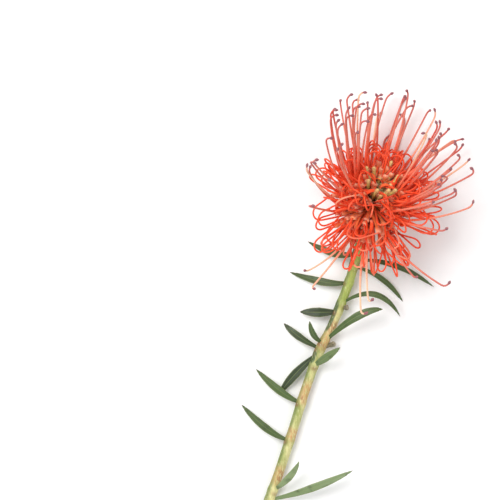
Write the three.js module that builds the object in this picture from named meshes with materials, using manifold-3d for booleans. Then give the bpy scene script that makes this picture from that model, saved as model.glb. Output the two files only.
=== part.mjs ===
// One cut pincushion protea (Leucospermum), lying on a level surface.
// Units are millimetres, +Z is up, and the stem runs roughly along Y with the bloom at +Y.
//
// The head is a conical receptacle set with florets on a golden-angle spiral. The oldest, at the base,
// are open: a long style ends in a pollen presenter, the "pin head", and the perianth is rolled back.
// Younger florets still hold the tip of the style, which bows out in a loop. The youngest are closed.

import * as THREE from 'three';
import { mergeVertices } from 'three/addons/utils/BufferGeometryUtils.js';
import Module from 'manifold-3d';

const radians = THREE.MathUtils.degToRad;

// ---- Driving dimensions ----

const CLEARANCE = 0.3;
const SETTLING = 0.9; // how softly a strand bends where it meets the surface
const PRESSED = 0.35; // how far the undersides are pressed flat where they rest
const SLAB = { side: 600, depth: 10 };
const ORIGIN = new THREE.Vector3(5.6, 47.9, -PRESSED); // moves the flower over the frame's origin

const HEAD_LEAN = radians(18); // sideways, from +Y towards +X
const HEAD_TILT = radians(50); // up from the surface
const NECK = new THREE.Vector3(2, 11.5, 15);

const RECEPTACLE = { radius: 9, height: 25, tipRadius: 1.2, bare: 2, sides: 12, rings: 6 };

const GOLDEN_ANGLE = Math.PI * (3 - Math.sqrt(5));
const FLORET_COUNT = 240;
const ROUND_SPREAD = 0.07; // how far florets stray from the spiral, in radians
const SWAY = 0.25; // how far a strand is carried sideways along its length
const OPEN_SHARE = 0.47; // the florets from the base up to here are open, but for the late ones
const BUD_SHARE = 0.83; // from here up the florets are closed
const EVERY_OPEN = 2; // one floret in so many is built
const EVERY_ROLL = 4; // and one in so many shows its rolled perianth
const EVERY_LOOP = 3;
const EVERY_BUD = 2;
const LAST_LOOP = 178; // younger loops stand too close to the closed florets

const STYLE = { length: 70, radius: 0.75, knobRadius: 1.15, knobLength: 3 };
const PERIANTH = { length: 21, radius: 1.0, limbRadius: 1.5 };
// How a lobe of the perianth leaves its style and curls back, in radians.
const LOBE = { opening: -0.25, bend: -0.2, turn: -5.2, turnFrom: 0.35, turnTo: 1 };
// The closed florets get shorter towards the middle of the head, by this power, down to the least.
const BUD = { length: 20, least: 2, shorter: 2.6, radius: 1.0, limbRadius: 1.2 };
const ROOT_DEPTH = 2.4; // how far each floret starts inside the receptacle
const BUD_FLOOR = 17.5; // height above the neck where the closed florets' own core begins

// How the florets of each stage leave the axis of the head and then turn, in degrees (roll in radians).
// The old ones, and those on the near side and the underside, droop further. Those on the flanks stand
// closer to the axis.
const OPEN = {
  opening: 45,
  withAge: 18,
  nearSide: 55,
  underSide: 45,
  flank: 30,
  loose: 7,
  bend: 8,
  bendWithAge: 16,
  looseBend: 9,
  hook: 72,
  looseHook: 45,
  hookFrom: 0.87,
  roll: 0.9,
  reach: 0.97, // length as a share of the usual one
  looseReach: 0.06,
};
const LOOP = {
  late: 0.12, // share of the old florets that still loop
  lateNearSide: 0.72, // and how many more do on the near side
  lateWidth: 0.75, // how narrow that side is, as a power
  opening: 38,
  withGrowth: 27,
  withAge: 18,
  nearSide: 38,
  loose: 14,
  turn: 184,
  looseTurn: 26,
  turnFrom: 0.42,
  turnTo: 0.88,
  later: 0.05, // the longest loops start to turn later by this share
  sooner: 0.1, // and have turned sooner by this one
  roll: 1.3,
  shortest: 0.53, // length of the style as a share of an open one
  growth: 0.28,
  looseReach: 0.06,
};
const CLOSED = { opening: 27, upright: 21, loose: 5, bend: 10 };

// Where the florets of the left flank have been pushed apart, as angles round the head.
const PARTING = { middle: -1.9, width: 0.35, push: 0.6 };

// The cup between the stem and the receptacle: heights above the neck and radii, from below.
const CUP = [
  [-4.6, 4.6],
  [-3.2, 6.2],
  [-1.6, 7.6],
  [0, 8.4],
];

// A bract: broad, then pointed.
const BRACT = {
  width: 4.6,
  thickness: 0.8,
  fold: -0.15,
  outline: [
    [0, 0.8],
    [0.45, 1],
    [0.75, 0.72],
    [1, 0.1],
  ],
};

// The bracts on the cup. Each row starts higher and further out than the one below it, by its rise.
const BRACTS = {
  rows: 2,
  perRow: 8,
  heights: [-4.6, -3.6, -1.2], // of the root, the bend and the tip, above the neck
  reaches: [3.6, 7.4, 8.8], // of the same three points, out from the axis
  rise: 1.3,
  reachRises: [1.3, 0.9, 0.6],
};

const STEM = {
  top: 5, // how far below the neck the stem starts
  bendFrom: 8.5, // and how far below it the stem leaves the axis of the head
  radius: 2.9,
  cutRadius: 3.2,
  neckRadius: 5.2,
  neckShare: 0.06, // share of its length over which it widens into the neck
  nodeSwell: 0.35,
  nodeShare: 0.012,
  sides: 8,
  rings: 34,
};

// The line of the stem from below the neck to the cut end.
const STEM_LINE = [
  [-9.2, -28.5, 5.4],
  [-19.8, -56.3, 5.2],
  [-28.9, -74.9, 5.1],
  [-36.9, -97.8, 4.7],
  [-44.2, -121.4, 4.2],
  [-52.6, -147.0, 3.7],
  [-59.7, -168.0, 3.4],
  [-63.4, -182.4, 3.3],
];

// Small blunt buds where leaves meet the stem: where each starts along the stem, and its tip.
const AXIL_BUD = { neckRadius: 1.1, radius: 1.7, tipRadius: 0.7, sides: 6 };
const AXIL_BUDS = [
  { at: 0.29, tip: [-10.0, -45.6, 7.5] },
  { at: 0.425, tip: [-17.9, -67.8, 6.5] },
];

// A leaf's blade. The outline is half its width, as a share of the widest, with teeth at the tip.
const LEAF = {
  thickness: 0.8,
  fold: 0.16,
  outline: [
    [0, 0.42],
    [0.12, 0.52],
    [0.32, 0.8],
    [0.52, 1],
    [0.7, 0.9],
    [0.84, 0.64],
    [0.92, 0.44],
    [0.935, 0.32],
    [0.975, 0.22],
    [1, 0.06],
  ],
};

// Each leaf: where it leaves the stem (0 at the neck, 1 at the cut end), the bend and the tip of its
// midrib, its full width, and how far its blade is rolled at the base and at the tip, in degrees.
const LEAVES = [
  { at: 0.135, bend: [18.6, -14.9, 13], tip: [42.8, -33.0, 4], width: 3.8, roll: [10, -25] },
  { at: 0.155, bend: [12.0, -24.0, 6], tip: [24.0, -42.2, 0.6], width: 3.6, roll: [10, 15] },
  { at: 0.275, bend: [7.5, -27.5, 18], tip: [21.8, -51.2, 8], width: 3.8, roll: [15, -25] },
  { at: 0.405, bend: [-4.5, -46.0, 18], tip: [10.6, -46.6, 15], width: 5.2, roll: [10, -15] },
  { at: 0.300, bend: [-26.6, -48.9, 10], tip: [-39.9, -48.5, 4], width: 6.0, roll: [-20, 20] },
  { at: 0.405, bend: [-33.1, -64.4, 14], tip: [-34.2, -53.9, 14], width: 3.8, roll: [0, 0] },
  { at: 0.425, bend: [-41.8, -64.6, 7], tip: [-49.8, -55.6, 3], width: 4.6, roll: [0, 0] },
  { at: 0.440, bend: [-42.9, -84.5, 7], tip: [-53.1, -100.1, 2], width: 5.6, roll: [0, 0] },
  { at: 0.480, bend: [-26.7, -78.3, 14], tip: [-15.6, -69.9, 18], width: 5.0, roll: [0, 0] },
  { at: 0.910, bend: [-33.8, -159.3, 10], tip: [-7.6, -145.8, 13], width: 4.8, roll: [10, -10] },
  { at: 0.880, bend: [-46.2, -152.1, 14], tip: [-40.8, -139.7, 18], width: 4.6, roll: [0, 30] },
  { at: 0.110, bend: [-15.0, -17.0, 9], tip: [-35.0, -5.0, 5], width: 4.8, roll: [-10, 20] },
  { at: 0.205, bend: [-23.0, -33.0, 7], tip: [-46.0, -24.0, 0.6], width: 5.0, roll: [0, 25] },
  { at: 0.600, bend: [-52.0, -100.0, 8], tip: [-67.0, -84.0, 3], width: 5.0, roll: [0, 20] },
  { at: 0.720, bend: [-60.0, -124.0, 9], tip: [-76.0, -106.0, 3], width: 4.8, roll: [0, 20] },
];

const FINISHES = {
  stem: { color: 0xb4b86e, roughness: 0.7 },
  leaf: { color: 0x64703f, roughness: 0.6 },
  involucre: { color: 0x8a7a55, roughness: 0.9 },
  florets: { color: 0xf0553c, roughness: 0.5 },
  buds: { color: 0xc9a552, roughness: 0.7 },
};

// ---- Small helpers ----

const UP = new THREE.Vector3(0, 0, 1);

/** A repeatable scatter from 0 to 1 for item number `index` and draw number `draw`. */
function scatter(index, draw) {
  const value = Math.sin(index * 12.9898 + draw * 78.233) * 43758.5453;
  return value - Math.floor(value);
}

/** The same scatter from -1 to 1. */
function spread(index, draw) {
  return 2 * scatter(index, draw) - 1;
}

function smoothStep(from, to, value) {
  return THREE.MathUtils.smoothstep(value, from, to);
}

const wasm = await Module();
wasm.setup();

/** Turns closed geometry into a solid that can be joined and cut. */
function solidFrom(geometry) {
  const bare = geometry.clone();
  bare.deleteAttribute('normal');
  bare.deleteAttribute('uv');
  const merged = mergeVertices(bare, 1e-4);
  const mesh = new wasm.Mesh({
    numProp: 3,
    vertProperties: Float32Array.from(merged.attributes.position.array),
    triVerts: Uint32Array.from(merged.index.array),
  });
  return new wasm.Manifold(mesh);
}

/** Turns a solid back into geometry, keeping only its largest body and dropping loose scraps. */
function geometryFrom(solid) {
  const bodies = solid.decompose();
  const largest = bodies.reduce((best, body) => (body.volume() > best.volume() ? body : best));
  const mesh = largest.getMesh();
  const geometry = new THREE.BufferGeometry();
  const positions = Float32Array.from(mesh.vertProperties);
  geometry.setAttribute('position', new THREE.BufferAttribute(positions, 3));
  geometry.setIndex(new THREE.BufferAttribute(Uint32Array.from(mesh.triVerts), 1));
  geometry.computeVertexNormals();
  return geometry;
}

/** Joins overlapping closed geometries into one solid. */
function joined(geometries) {
  return geometries.map(solidFrom).reduce((whole, piece) => whole.add(piece));
}

/** Closed geometry from rings of points that all have the same number of points. */
function loft(rings) {
  const around = rings[0].length;
  const positions = rings.flat().flatMap((point) => point.toArray());
  const triangles = [];
  for (let ring = 0; ring + 1 < rings.length; ring += 1) {
    for (let side = 0; side < around; side += 1) {
      const next = (side + 1) % around;
      const a = ring * around + side;
      const b = ring * around + next;
      triangles.push(a, b, b + around, a, b + around, a + around);
    }
  }
  const last = (rings.length - 1) * around;
  for (let side = 1; side + 1 < around; side += 1) {
    triangles.push(0, side + 1, side);
    triangles.push(last, last + side, last + side + 1);
  }
  const geometry = new THREE.BufferGeometry();
  geometry.setAttribute('position', new THREE.Float32BufferAttribute(positions, 3));
  geometry.setIndex(triangles);
  return geometry;
}

/** Directions along a line of points, from each point's neighbours. */
function tangentsOf(points) {
  return points.map((point, index) => {
    const before = points[Math.max(index - 1, 0)];
    const after = points[Math.min(index + 1, points.length - 1)];
    return after.clone().sub(before).normalize();
  });
}

/** A closed stalk along the points, with a radius at each, whose section keeps its roll all the way. */
function stalk(points, radii, sides, firstSide) {
  const tangents = tangentsOf(points);
  let across = firstSide.clone();
  const rings = points.map((point, index) => {
    across = across.clone().addScaledVector(tangents[index], -across.dot(tangents[index])).normalize();
    const along = tangents[index].clone().cross(across);
    const ring = [];
    for (let side = 0; side < sides; side += 1) {
      const angle = (2 * Math.PI * side) / sides;
      const spoke = across.clone().multiplyScalar(Math.cos(angle));
      spoke.addScaledVector(along, Math.sin(angle));
      ring.push(point.clone().addScaledVector(spoke, radii[index]));
    }
    return ring;
  });
  return loft(rings);
}

/** The surface as a slab, into which the undersides that rest on it are pressed flat. */
function surfaceSlab() {
  const slab = new THREE.BoxGeometry(SLAB.side, SLAB.side, SLAB.depth);
  slab.translate(0, 0, PRESSED - 0.5 * SLAB.depth);
  return solidFrom(slab);
}

const surface = surfaceSlab();

// ---- The frame of the head ----

const AXIS = new THREE.Vector3(
  Math.cos(HEAD_TILT) * Math.sin(HEAD_LEAN),
  Math.cos(HEAD_TILT) * Math.cos(HEAD_LEAN),
  Math.sin(HEAD_TILT),
);
const FAR = new THREE.Vector3(
  Math.sin(HEAD_TILT) * Math.sin(HEAD_LEAN),
  Math.sin(HEAD_TILT) * Math.cos(HEAD_LEAN),
  -Math.cos(HEAD_TILT),
);
const SIDE = new THREE.Vector3(Math.cos(HEAD_LEAN), -Math.sin(HEAD_LEAN), 0);

/** A point of the head: up its axis, out from it, and round it from the far side. */
function headPoint(up, out, round) {
  return NECK.clone()
    .addScaledVector(AXIS, up)
    .addScaledVector(FAR, out * Math.cos(round))
    .addScaledVector(SIDE, out * Math.sin(round));
}

/** A ring of points round the axis of the head. */
function headRing(up, out) {
  const ring = [];
  for (let side = 0; side < RECEPTACLE.sides; side += 1) {
    ring.push(headPoint(up, out, (-2 * Math.PI * side) / RECEPTACLE.sides));
  }
  return ring;
}

/** Bends a point that would sink below the surface so that it lies along it instead. */
function laidOn(point, radius) {
  const depth = (point.z - radius) / SETTLING;
  point.z = radius + SETTLING * (depth > 20 ? depth : Math.log1p(Math.exp(depth)));
  return point;
}

// ---- Florets ----

/** The angle to which a floret is pushed by the parting in the flank. */
function parted(round) {
  const turns = (round - PARTING.middle) / (2 * Math.PI);
  const away = 2 * Math.PI * (turns - Math.round(turns));
  return round + PARTING.push * away * Math.exp(-((away / PARTING.width) ** 2));
}

/** How an open floret's style leaves the axis and turns. */
function openHabit(index, age, sides) {
  const side = OPEN.nearSide * sides.near * Math.sqrt(age) + OPEN.underSide * sides.under * age ** 3;
  const droop = OPEN.withAge * age + side - OPEN.flank * sides.flank;
  return {
    opening: radians(OPEN.opening + droop + OPEN.loose * spread(index, 3)),
    length: STYLE.length * (OPEN.reach + OPEN.looseReach * spread(index, 4)),
    bend: radians(OPEN.bend + OPEN.bendWithAge * age + OPEN.looseBend * spread(index, 5)),
    turn: radians(OPEN.hook + OPEN.looseHook * spread(index, 6)),
    turnFrom: OPEN.hookFrom,
    roll: OPEN.roll * spread(index, 9),
  };
}

/** How a looping floret's style leaves the axis and turns. The oldest have grown the most. */
function loopHabit(index, age, growth, sides) {
  const droop = LOOP.withAge * age + (LOOP.withGrowth + LOOP.nearSide * sides.near) * growth;
  return {
    opening: radians(LOOP.opening + droop + LOOP.loose * spread(index, 3)),
    length: STYLE.length * (LOOP.shortest + LOOP.growth * growth + LOOP.looseReach * spread(index, 4)),
    turn: radians(LOOP.turn + LOOP.looseTurn * spread(index, 6)),
    turnFrom: LOOP.turnFrom + LOOP.later * growth,
    turnTo: LOOP.turnTo - LOOP.sooner * growth,
    roll: LOOP.roll * spread(index, 9),
  };
}

/** How a closed floret leaves the axis. The youngest stand upright. */
function closedHabit(index, youth) {
  return {
    opening: radians(CLOSED.opening - CLOSED.upright * youth + CLOSED.loose * spread(index, 3)),
    length: BUD.least + BUD.length * (1 - youth) ** BUD.shorter,
    bend: radians(CLOSED.bend),
  };
}

/** Everything that sets one floret apart, from its number on the spiral (0 is the oldest). */
function floretAt(index) {
  const share = (index + 0.5) / FLORET_COUNT;
  const left = 1 - share;
  const age = Math.max(0, 1 - share / OPEN_SHARE);
  const youth = Math.max(0, (share - BUD_SHARE) / (1 - BUD_SHARE));
  const growth = 1 - Math.max(0, (share - OPEN_SHARE) / (BUD_SHARE - OPEN_SHARE));
  const round = index * GOLDEN_ANGLE + ROUND_SPREAD * spread(index, 1);
  const sides = {
    near: ((1 - Math.cos(round)) / 2) ** 3,
    under: ((1 + Math.cos(round)) / 2) ** 2,
    flank: Math.sin(round) ** 2,
  };
  const late = scatter(index, 8) <= LOOP.late + LOOP.lateNearSide * sides.near ** LOOP.lateWidth;
  const floret = {
    index,
    stage: 'loop',
    round: parted(round),
    up: RECEPTACLE.bare + (RECEPTACLE.height - RECEPTACLE.bare) * (1 - left ** (2 / 3)),
    out: RECEPTACLE.radius * left ** (1 / 3),
    sway: SWAY * spread(index, 2),
    bend: 0,
    turn: 0,
    turnFrom: 0,
    turnTo: 1,
    roll: 0,
  };
  if (youth > 0) {
    return { ...floret, stage: 'bud', ...closedHabit(index, youth) };
  }
  if (age > 0 && !late) {
    return { ...floret, stage: 'open', ...openHabit(index, age, sides) };
  }
  return { ...floret, ...loopHabit(index, age, growth, sides) };
}

/** The directions across the axis at a floret: straight out from it, and on round the head. */
function directionsAt({ round }) {
  const outward = FAR.clone().multiplyScalar(Math.cos(round)).addScaledVector(SIDE, Math.sin(round));
  const across = SIDE.clone().multiplyScalar(Math.cos(round)).addScaledVector(FAR, -Math.sin(round));
  return { outward, across };
}

/** Points at the given shares of a strand that leaves the receptacle and turns as it goes. */
function strandPoints(floret, shares, lowest) {
  const steps = 60;
  const { outward, across } = directionsAt(floret);
  const turn = (along, over) => AXIS.clone().multiplyScalar(along).addScaledVector(outward, over);
  const heading = turn(Math.cos(floret.opening), Math.sin(floret.opening));
  const inward = turn(Math.sin(floret.opening), -Math.cos(floret.opening));
  const turning = inward.multiplyScalar(Math.cos(floret.roll));
  turning.addScaledVector(across, Math.sin(floret.roll));
  const points = [];
  const place = headPoint(floret.up, floret.out, floret.round);
  for (let step = 0; step <= steps; step += 1) {
    const share = step / steps;
    while (points.length < shares.length && shares[points.length] <= share + 1e-9) {
      points.push(laidOn(place.clone(), lowest));
    }
    const turned = floret.bend * share + floret.turn * smoothStep(floret.turnFrom, floret.turnTo, share);
    const direction = heading.clone().multiplyScalar(Math.cos(turned));
    direction.addScaledVector(turning, Math.sin(turned));
    direction.addScaledVector(across, floret.sway * share).normalize();
    place.addScaledVector(direction, floret.length / steps);
  }
  return points;
}

/** The point inside the receptacle, and inside its own core, that a floret grows from. */
function rootOf(floret) {
  const lowest = floret.stage === 'bud' ? BUD_FLOOR + 0.5 * BUD.radius : 0;
  return headPoint(
    Math.max(floret.up - ROOT_DEPTH * Math.cos(floret.opening), lowest),
    Math.max(floret.out - ROOT_DEPTH * Math.sin(floret.opening), 0.2),
    floret.round,
  );
}

/** The style of an open floret, with the pollen presenter as its pin head. */
function openStyle(floret) {
  const knob = STYLE.knobLength / floret.length;
  const shares = [0.25, 0.55, 0.82, 0.91, 1 - knob, 1 - 0.4 * knob, 1];
  const radii = [1, 1, 1, 0.95, 0.9, 0.85].map((share) => share * STYLE.radius);
  const points = [rootOf(floret), ...strandPoints(floret, shares, STYLE.radius)];
  const tip = [STYLE.knobRadius, 0.5 * STYLE.knobRadius];
  return stalk(points, [...radii, ...tip], 3, AXIS);
}

/** The perianth of an open floret: a short tube whose lobes have split and rolled back. */
function rolledPerianth(floret) {
  const opening = floret.opening + LOBE.opening;
  const roll = 0.5 * spread(floret.index, 7);
  const rolled = { ...floret, ...LOBE, opening, roll, length: PERIANTH.length };
  const shares = [0.42, 0.62, 0.75, 0.88, 1];
  const radii = [0.9, 0.9, 1, 1, 1, 1.3].map((share) => share * PERIANTH.radius);
  return stalk([rootOf(floret), ...strandPoints(rolled, shares, PERIANTH.limbRadius)], radii, 3, AXIS);
}

/** The style of a looping floret, bowed out and back to the limb that still holds its tip. */
function loopStyle(floret) {
  const middle = (floret.turnFrom + floret.turnTo) / 2;
  const turning = floret.turnTo - floret.turnFrom;
  const shares = [
    0.5 * floret.turnFrom,
    middle - 0.4 * turning,
    middle - 0.15 * turning,
    middle,
    middle + 0.15 * turning,
    middle + 0.4 * turning,
    1,
  ];
  const radii = Array(shares.length + 1).fill(STYLE.radius);
  return stalk([rootOf(floret), ...strandPoints(floret, shares, STYLE.radius)], radii, 3, AXIS);
}

/** The perianth of a looping floret, from the receptacle to the limb at the end of its style. */
function heldPerianth(floret) {
  const [outer, limb] = strandPoints(floret, [0.97, 1], PERIANTH.limbRadius);
  const root = rootOf(floret);
  const inward = root.clone().lerp(limb, 0.55).addScaledVector(AXIS, 0.6);
  const tip = limb.clone().add(limb.clone().sub(outer).multiplyScalar(0.5));
  const points = [root, inward, root.clone().lerp(limb, 0.88), limb, tip];
  const tube = [0.8, 0.9, 0.9].map((share) => share * PERIANTH.radius);
  return stalk(points, [...tube, PERIANTH.limbRadius, 0.7 * PERIANTH.radius], 3, SIDE);
}

/** A closed floret: a slim tube that swells into its hairy tip. */
function budTube(floret) {
  const shares = [0.4, 0.72, 0.86, 0.95, 1];
  const tube = Array(3).fill(BUD.radius);
  const radii = [...tube, BUD.limbRadius, BUD.limbRadius, 0.5 * BUD.limbRadius];
  return stalk([rootOf(floret), ...strandPoints(floret, shares, BUD.limbRadius)], radii, 3, SIDE);
}

/** Radius of the receptacle at a height above the neck. */
function receptacleRadius(up) {
  const rise = Math.max(0, (up - RECEPTACLE.bare) / (RECEPTACLE.height - RECEPTACLE.bare));
  return RECEPTACLE.radius * Math.sqrt(Math.max(0, 1 - rise));
}

/** A slice of the receptacle between two heights. */
function receptacleSlice(from, to) {
  const rings = [];
  for (let ring = 0; ring <= RECEPTACLE.rings; ring += 1) {
    const up = THREE.MathUtils.lerp(from, to, ring / RECEPTACLE.rings);
    rings.push(headRing(up, Math.max(receptacleRadius(up), RECEPTACLE.tipRadius)));
  }
  return loft(rings);
}

// ---- Head ----

const florets = Array.from({ length: FLORET_COUNT }, (_, index) => floretAt(index));

/** The florets of a stage, one in so many. The second of each few reaches the furthest tips. */
function chosen(stage, every) {
  return florets.filter((floret) => floret.stage === stage && floret.index % every === 1);
}

function floretsSolid() {
  const pieces = [receptacleSlice(CLEARANCE, BUD_FLOOR - CLEARANCE)];
  chosen('open', EVERY_OPEN).forEach((floret) => {
    pieces.push(openStyle(floret));
    if (floret.index % EVERY_ROLL === 1) {
      pieces.push(rolledPerianth(floret));
    }
  });
  chosen('loop', EVERY_LOOP).filter(({ index }) => index < LAST_LOOP).forEach((floret) => {
    pieces.push(loopStyle(floret), heldPerianth(floret));
  });
  return joined(pieces).subtract(surface);
}

function budsSolid() {
  const pieces = [receptacleSlice(BUD_FLOOR, RECEPTACLE.height)];
  chosen('bud', EVERY_BUD).forEach((floret) => {
    pieces.push(budTube(floret));
  });
  return joined(pieces);
}

// ---- Stem ----

const stemCurve = new THREE.CatmullRomCurve3([
  headPoint(-STEM.top, 0, 0),
  headPoint(-STEM.bendFrom, 0, 0),
  ...STEM_LINE.map((point) => new THREE.Vector3(...point)),
]);

/** Radius of the stem at a share of its length, from the neck to the cut end. */
function stemRadius(share) {
  const plain = THREE.MathUtils.lerp(STEM.radius, STEM.cutRadius, share);
  const neck = (STEM.neckRadius - STEM.radius) * (1 - smoothStep(0, STEM.neckShare, share));
  const nodes = LEAVES.map(({ at }) => Math.exp(-(((share - at) / STEM.nodeShare) ** 2)));
  const swell = Math.min(nodes.reduce((sum, node) => sum + node), 1);
  return plain + neck + STEM.nodeSwell * swell;
}

/** The stem, or the stem made wider by a clearance. */
function stemGeometry(extra) {
  const points = stemCurve.getSpacedPoints(STEM.rings);
  const radii = points.map((_, index) => stemRadius(index / STEM.rings) + extra);
  return stalk(points, radii, STEM.sides, SIDE);
}

/** A bud in the angle of a leaf, or the bud made wider by a clearance. */
function axilBud({ at, tip }, extra) {
  const base = stemCurve.getPointAt(at);
  const end = new THREE.Vector3(...tip);
  const points = [0, 0.5, 0.72, 0.9, 1].map((share) => base.clone().lerp(end, share));
  const { neckRadius, radius, tipRadius, sides } = AXIL_BUD;
  const radii = [neckRadius, neckRadius, radius, radius, tipRadius].map((own) => own + extra);
  return stalk(points, radii, sides, SIDE);
}

/** The stem with its buds, or both made wider by a clearance. */
function stemSolid(extra) {
  return joined([stemGeometry(extra), ...AXIL_BUDS.map((bud) => axilBud(bud, extra))]);
}

// ---- Leaves ----

/** A narrow blade along a bent midrib, folded a little along it, with toothed edges at the tip. */
function bladeGeometry(curve, { outline, width, thickness, fold, roll }, face) {
  const points = outline.map(([share]) => curve.getPoint(share));
  const rings = outline.map(([share, half], index) => {
    const tangent = curve.getTangent(share);
    const across = face.clone().cross(tangent).normalize();
    across.applyAxisAngle(tangent, THREE.MathUtils.lerp(roll[0], roll[1], share));
    const normal = tangent.clone().cross(across);
    const reach = 0.5 * width * half;
    const lift = fold * reach;
    const middle = points[index];
    const corner = (out, up) => middle.clone().addScaledVector(across, out).addScaledVector(normal, up);
    return [
      corner(-reach, lift + 0.5 * thickness),
      corner(-reach, lift - 0.5 * thickness),
      corner(0, -0.5 * thickness),
      corner(reach, lift - 0.5 * thickness),
      corner(reach, lift + 0.5 * thickness),
      corner(0, 0.5 * thickness),
    ];
  });
  return loft(rings);
}

const stemClear = stemSolid(CLEARANCE);

function leafSolid({ at, bend, tip, width, roll }) {
  const base = stemCurve.getPointAt(at);
  const [bent, end] = [bend, tip].map((point) => new THREE.Vector3(...point));
  const curve = new THREE.QuadraticBezierCurve3(base, bent, end);
  const blade = bladeGeometry(curve, { ...LEAF, width, roll: roll.map(radians) }, UP);
  return solidFrom(blade).subtract(stemClear).subtract(surface);
}

// ---- Involucre ----

/** One bract, bowed out from the cup and back over the receptacle. */
function bractGeometry(row, round) {
  const line = BRACTS.heights.map((height, knot) =>
    headPoint(height + row * BRACTS.rise, BRACTS.reaches[knot] + row * BRACTS.reachRises[knot], round));
  const outward = headPoint(0, 1, round).sub(headPoint(0, 0, round));
  return bladeGeometry(new THREE.QuadraticBezierCurve3(...line), { ...BRACT, roll: [0, 0] }, outward);
}

/** The cup with its rows of overlapping pointed bracts. */
function involucreSolid() {
  const pieces = [loft(CUP.map(([up, out]) => headRing(up, out)))];
  for (let row = 0; row < BRACTS.rows; row += 1) {
    for (let place = 0; place < BRACTS.perRow; place += 1) {
      pieces.push(bractGeometry(row, (2 * Math.PI * (place + 0.5 * row)) / BRACTS.perRow));
    }
  }
  return joined(pieces).subtract(stemClear);
}

// ---- The flower ----

const flower = new THREE.Group();

/** Adds one named piece of the flower with its own finish. */
function addPiece(name, solid, finish) {
  const material = new THREE.MeshStandardMaterial({ ...finish, metalness: 0 });
  const mesh = new THREE.Mesh(geometryFrom(solid), material);
  mesh.name = name;
  flower.add(mesh);
}

addPiece('stem', stemSolid(0).subtract(surface), FINISHES.stem);
addPiece('involucre', involucreSolid(), FINISHES.involucre);
addPiece('florets', floretsSolid(), FINISHES.florets);
addPiece('centre_buds', budsSolid(), FINISHES.buds);
LEAVES.forEach((leaf, index) => {
  addPiece(`leaf_${String(index + 1).padStart(2, '0')}`, leafSolid(leaf), FINISHES.leaf);
});
flower.position.copy(ORIGIN);

export default flower;
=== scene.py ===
"""A cut pincushion protea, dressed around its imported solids.

The head is a receptacle set with florets on a golden-angle spiral. Every floret is worked out from its
number by the same rule as the solids, in millimetres in the flower's own frame, and is then placed in the
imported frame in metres.
"""

import logging
import math
from dataclasses import dataclass, field
from enum import Enum, IntEnum
from typing import Iterable, Sequence

import bpy
import numpy as np
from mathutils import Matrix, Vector


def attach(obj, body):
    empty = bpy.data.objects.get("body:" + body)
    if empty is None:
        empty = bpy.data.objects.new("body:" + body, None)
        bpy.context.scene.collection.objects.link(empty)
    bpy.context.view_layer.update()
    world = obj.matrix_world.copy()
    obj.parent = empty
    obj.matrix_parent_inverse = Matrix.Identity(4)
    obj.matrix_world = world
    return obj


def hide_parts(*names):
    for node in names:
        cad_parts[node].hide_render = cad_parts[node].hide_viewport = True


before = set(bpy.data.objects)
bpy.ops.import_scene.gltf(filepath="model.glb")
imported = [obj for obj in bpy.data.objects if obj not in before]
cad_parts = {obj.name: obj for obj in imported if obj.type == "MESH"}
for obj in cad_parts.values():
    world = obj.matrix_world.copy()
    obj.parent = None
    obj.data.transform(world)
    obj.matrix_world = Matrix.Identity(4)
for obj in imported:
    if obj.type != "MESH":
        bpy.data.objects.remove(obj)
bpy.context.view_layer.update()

Colour = tuple[int, int, int]  # red, green and blue, from 0 to 255
Triple = tuple[float, float, float]  # one number for each axis
Socket = bpy.types.NodeSocket

LOG = logging.getLogger("protea")
METRE = 0.001  # one millimetre, in metres
PRESSED = 0.35  # how far the undersides are pressed flat where they rest, in millimetres
LIFT = 0.02  # how far all meshes stay above that, in millimetres
ORIGIN = np.array([5.6, 47.9, -PRESSED])  # the flower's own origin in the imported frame, in millimetres
GOLDEN_ANGLE = math.pi * (3 - math.sqrt(5))
STRAND_STEPS = 60  # how many straight steps a strand is worked out in
CURVE_STEPS = 12  # how many points a short smooth curve gets between two knots
SETTLING = 0.9  # how softly a strand bends where it meets the surface
SHORTEST = 1e-9  # the least length that a vector is divided by
SEED = 20

SCATTER_ITEM = 12.9898  # these three numbers set the repeatable scatter
SCATTER_DRAW = 78.233
SCATTER_SCALE = 43758.5453

LOBE_DRAWS = 5  # how many draws each lobe of a perianth takes

HAIR_SIDEWAYS = np.array([0.3, 0.5, 0.81])  # a direction that few hairs point along
HAIR_LOOSE = 0.28  # how far hairs stray from straight out
HAIR_LEAST = 0.6  # the shortest hair, and the range above it, as shares of the usual length
HAIR_RANGE = 0.6
HAIR_DEPTH = 0.05  # how far a hair starts below the skin, in millimetres
HAIR_RADIUS = 0.05
HAIR_CLEARANCE = 0.1  # how far the hairs of the outer florets stay above the surface, in millimetres

BUMP_STRENGTH = 0.7


# ---- Numbers ----


class Draw(IntEnum):
    """The number of each of the draws that set one item apart from the next."""

    ROUND = 1
    SWAY = 2
    OPENING = 3
    REACH = 4
    BEND = 5
    TURN = 6
    LOBE_SWAY = 7
    LATE = 8
    ROLL = 9
    STYLE_TINT = 23
    PIN_SIZE = 24
    HELD_TINT = 26
    BRACT_ROUND = 27
    BRACT_LENGTH = 28
    FIRST_LOBE = 30
    LEAF_TINT = 40


def scatter(index: int, draw: int) -> float:
    """A repeatable scatter from 0 to 1.

    Args:
        index: the number of the item.
        draw: the number of the draw for that item.

    Returns:
        A value from 0 to 1.
    """
    value = math.sin(index * SCATTER_ITEM + draw * SCATTER_DRAW) * SCATTER_SCALE
    return value - math.floor(value)


def spread(index: int, draw: int) -> float:
    """The same scatter, from -1 to 1."""
    return 2 * scatter(index, draw) - 1


def smooth_step(start: float, end: float, value: np.ndarray) -> np.ndarray:
    """A smooth rise from 0 at start to 1 at end."""
    share = np.clip((value - start) / (end - start), 0, 1)
    return share * share * (3 - 2 * share)


def unit(vectors: np.ndarray) -> np.ndarray:
    """The vectors at length 1."""
    return vectors / np.maximum(np.linalg.norm(vectors, axis=-1, keepdims=True), SHORTEST)


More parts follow.
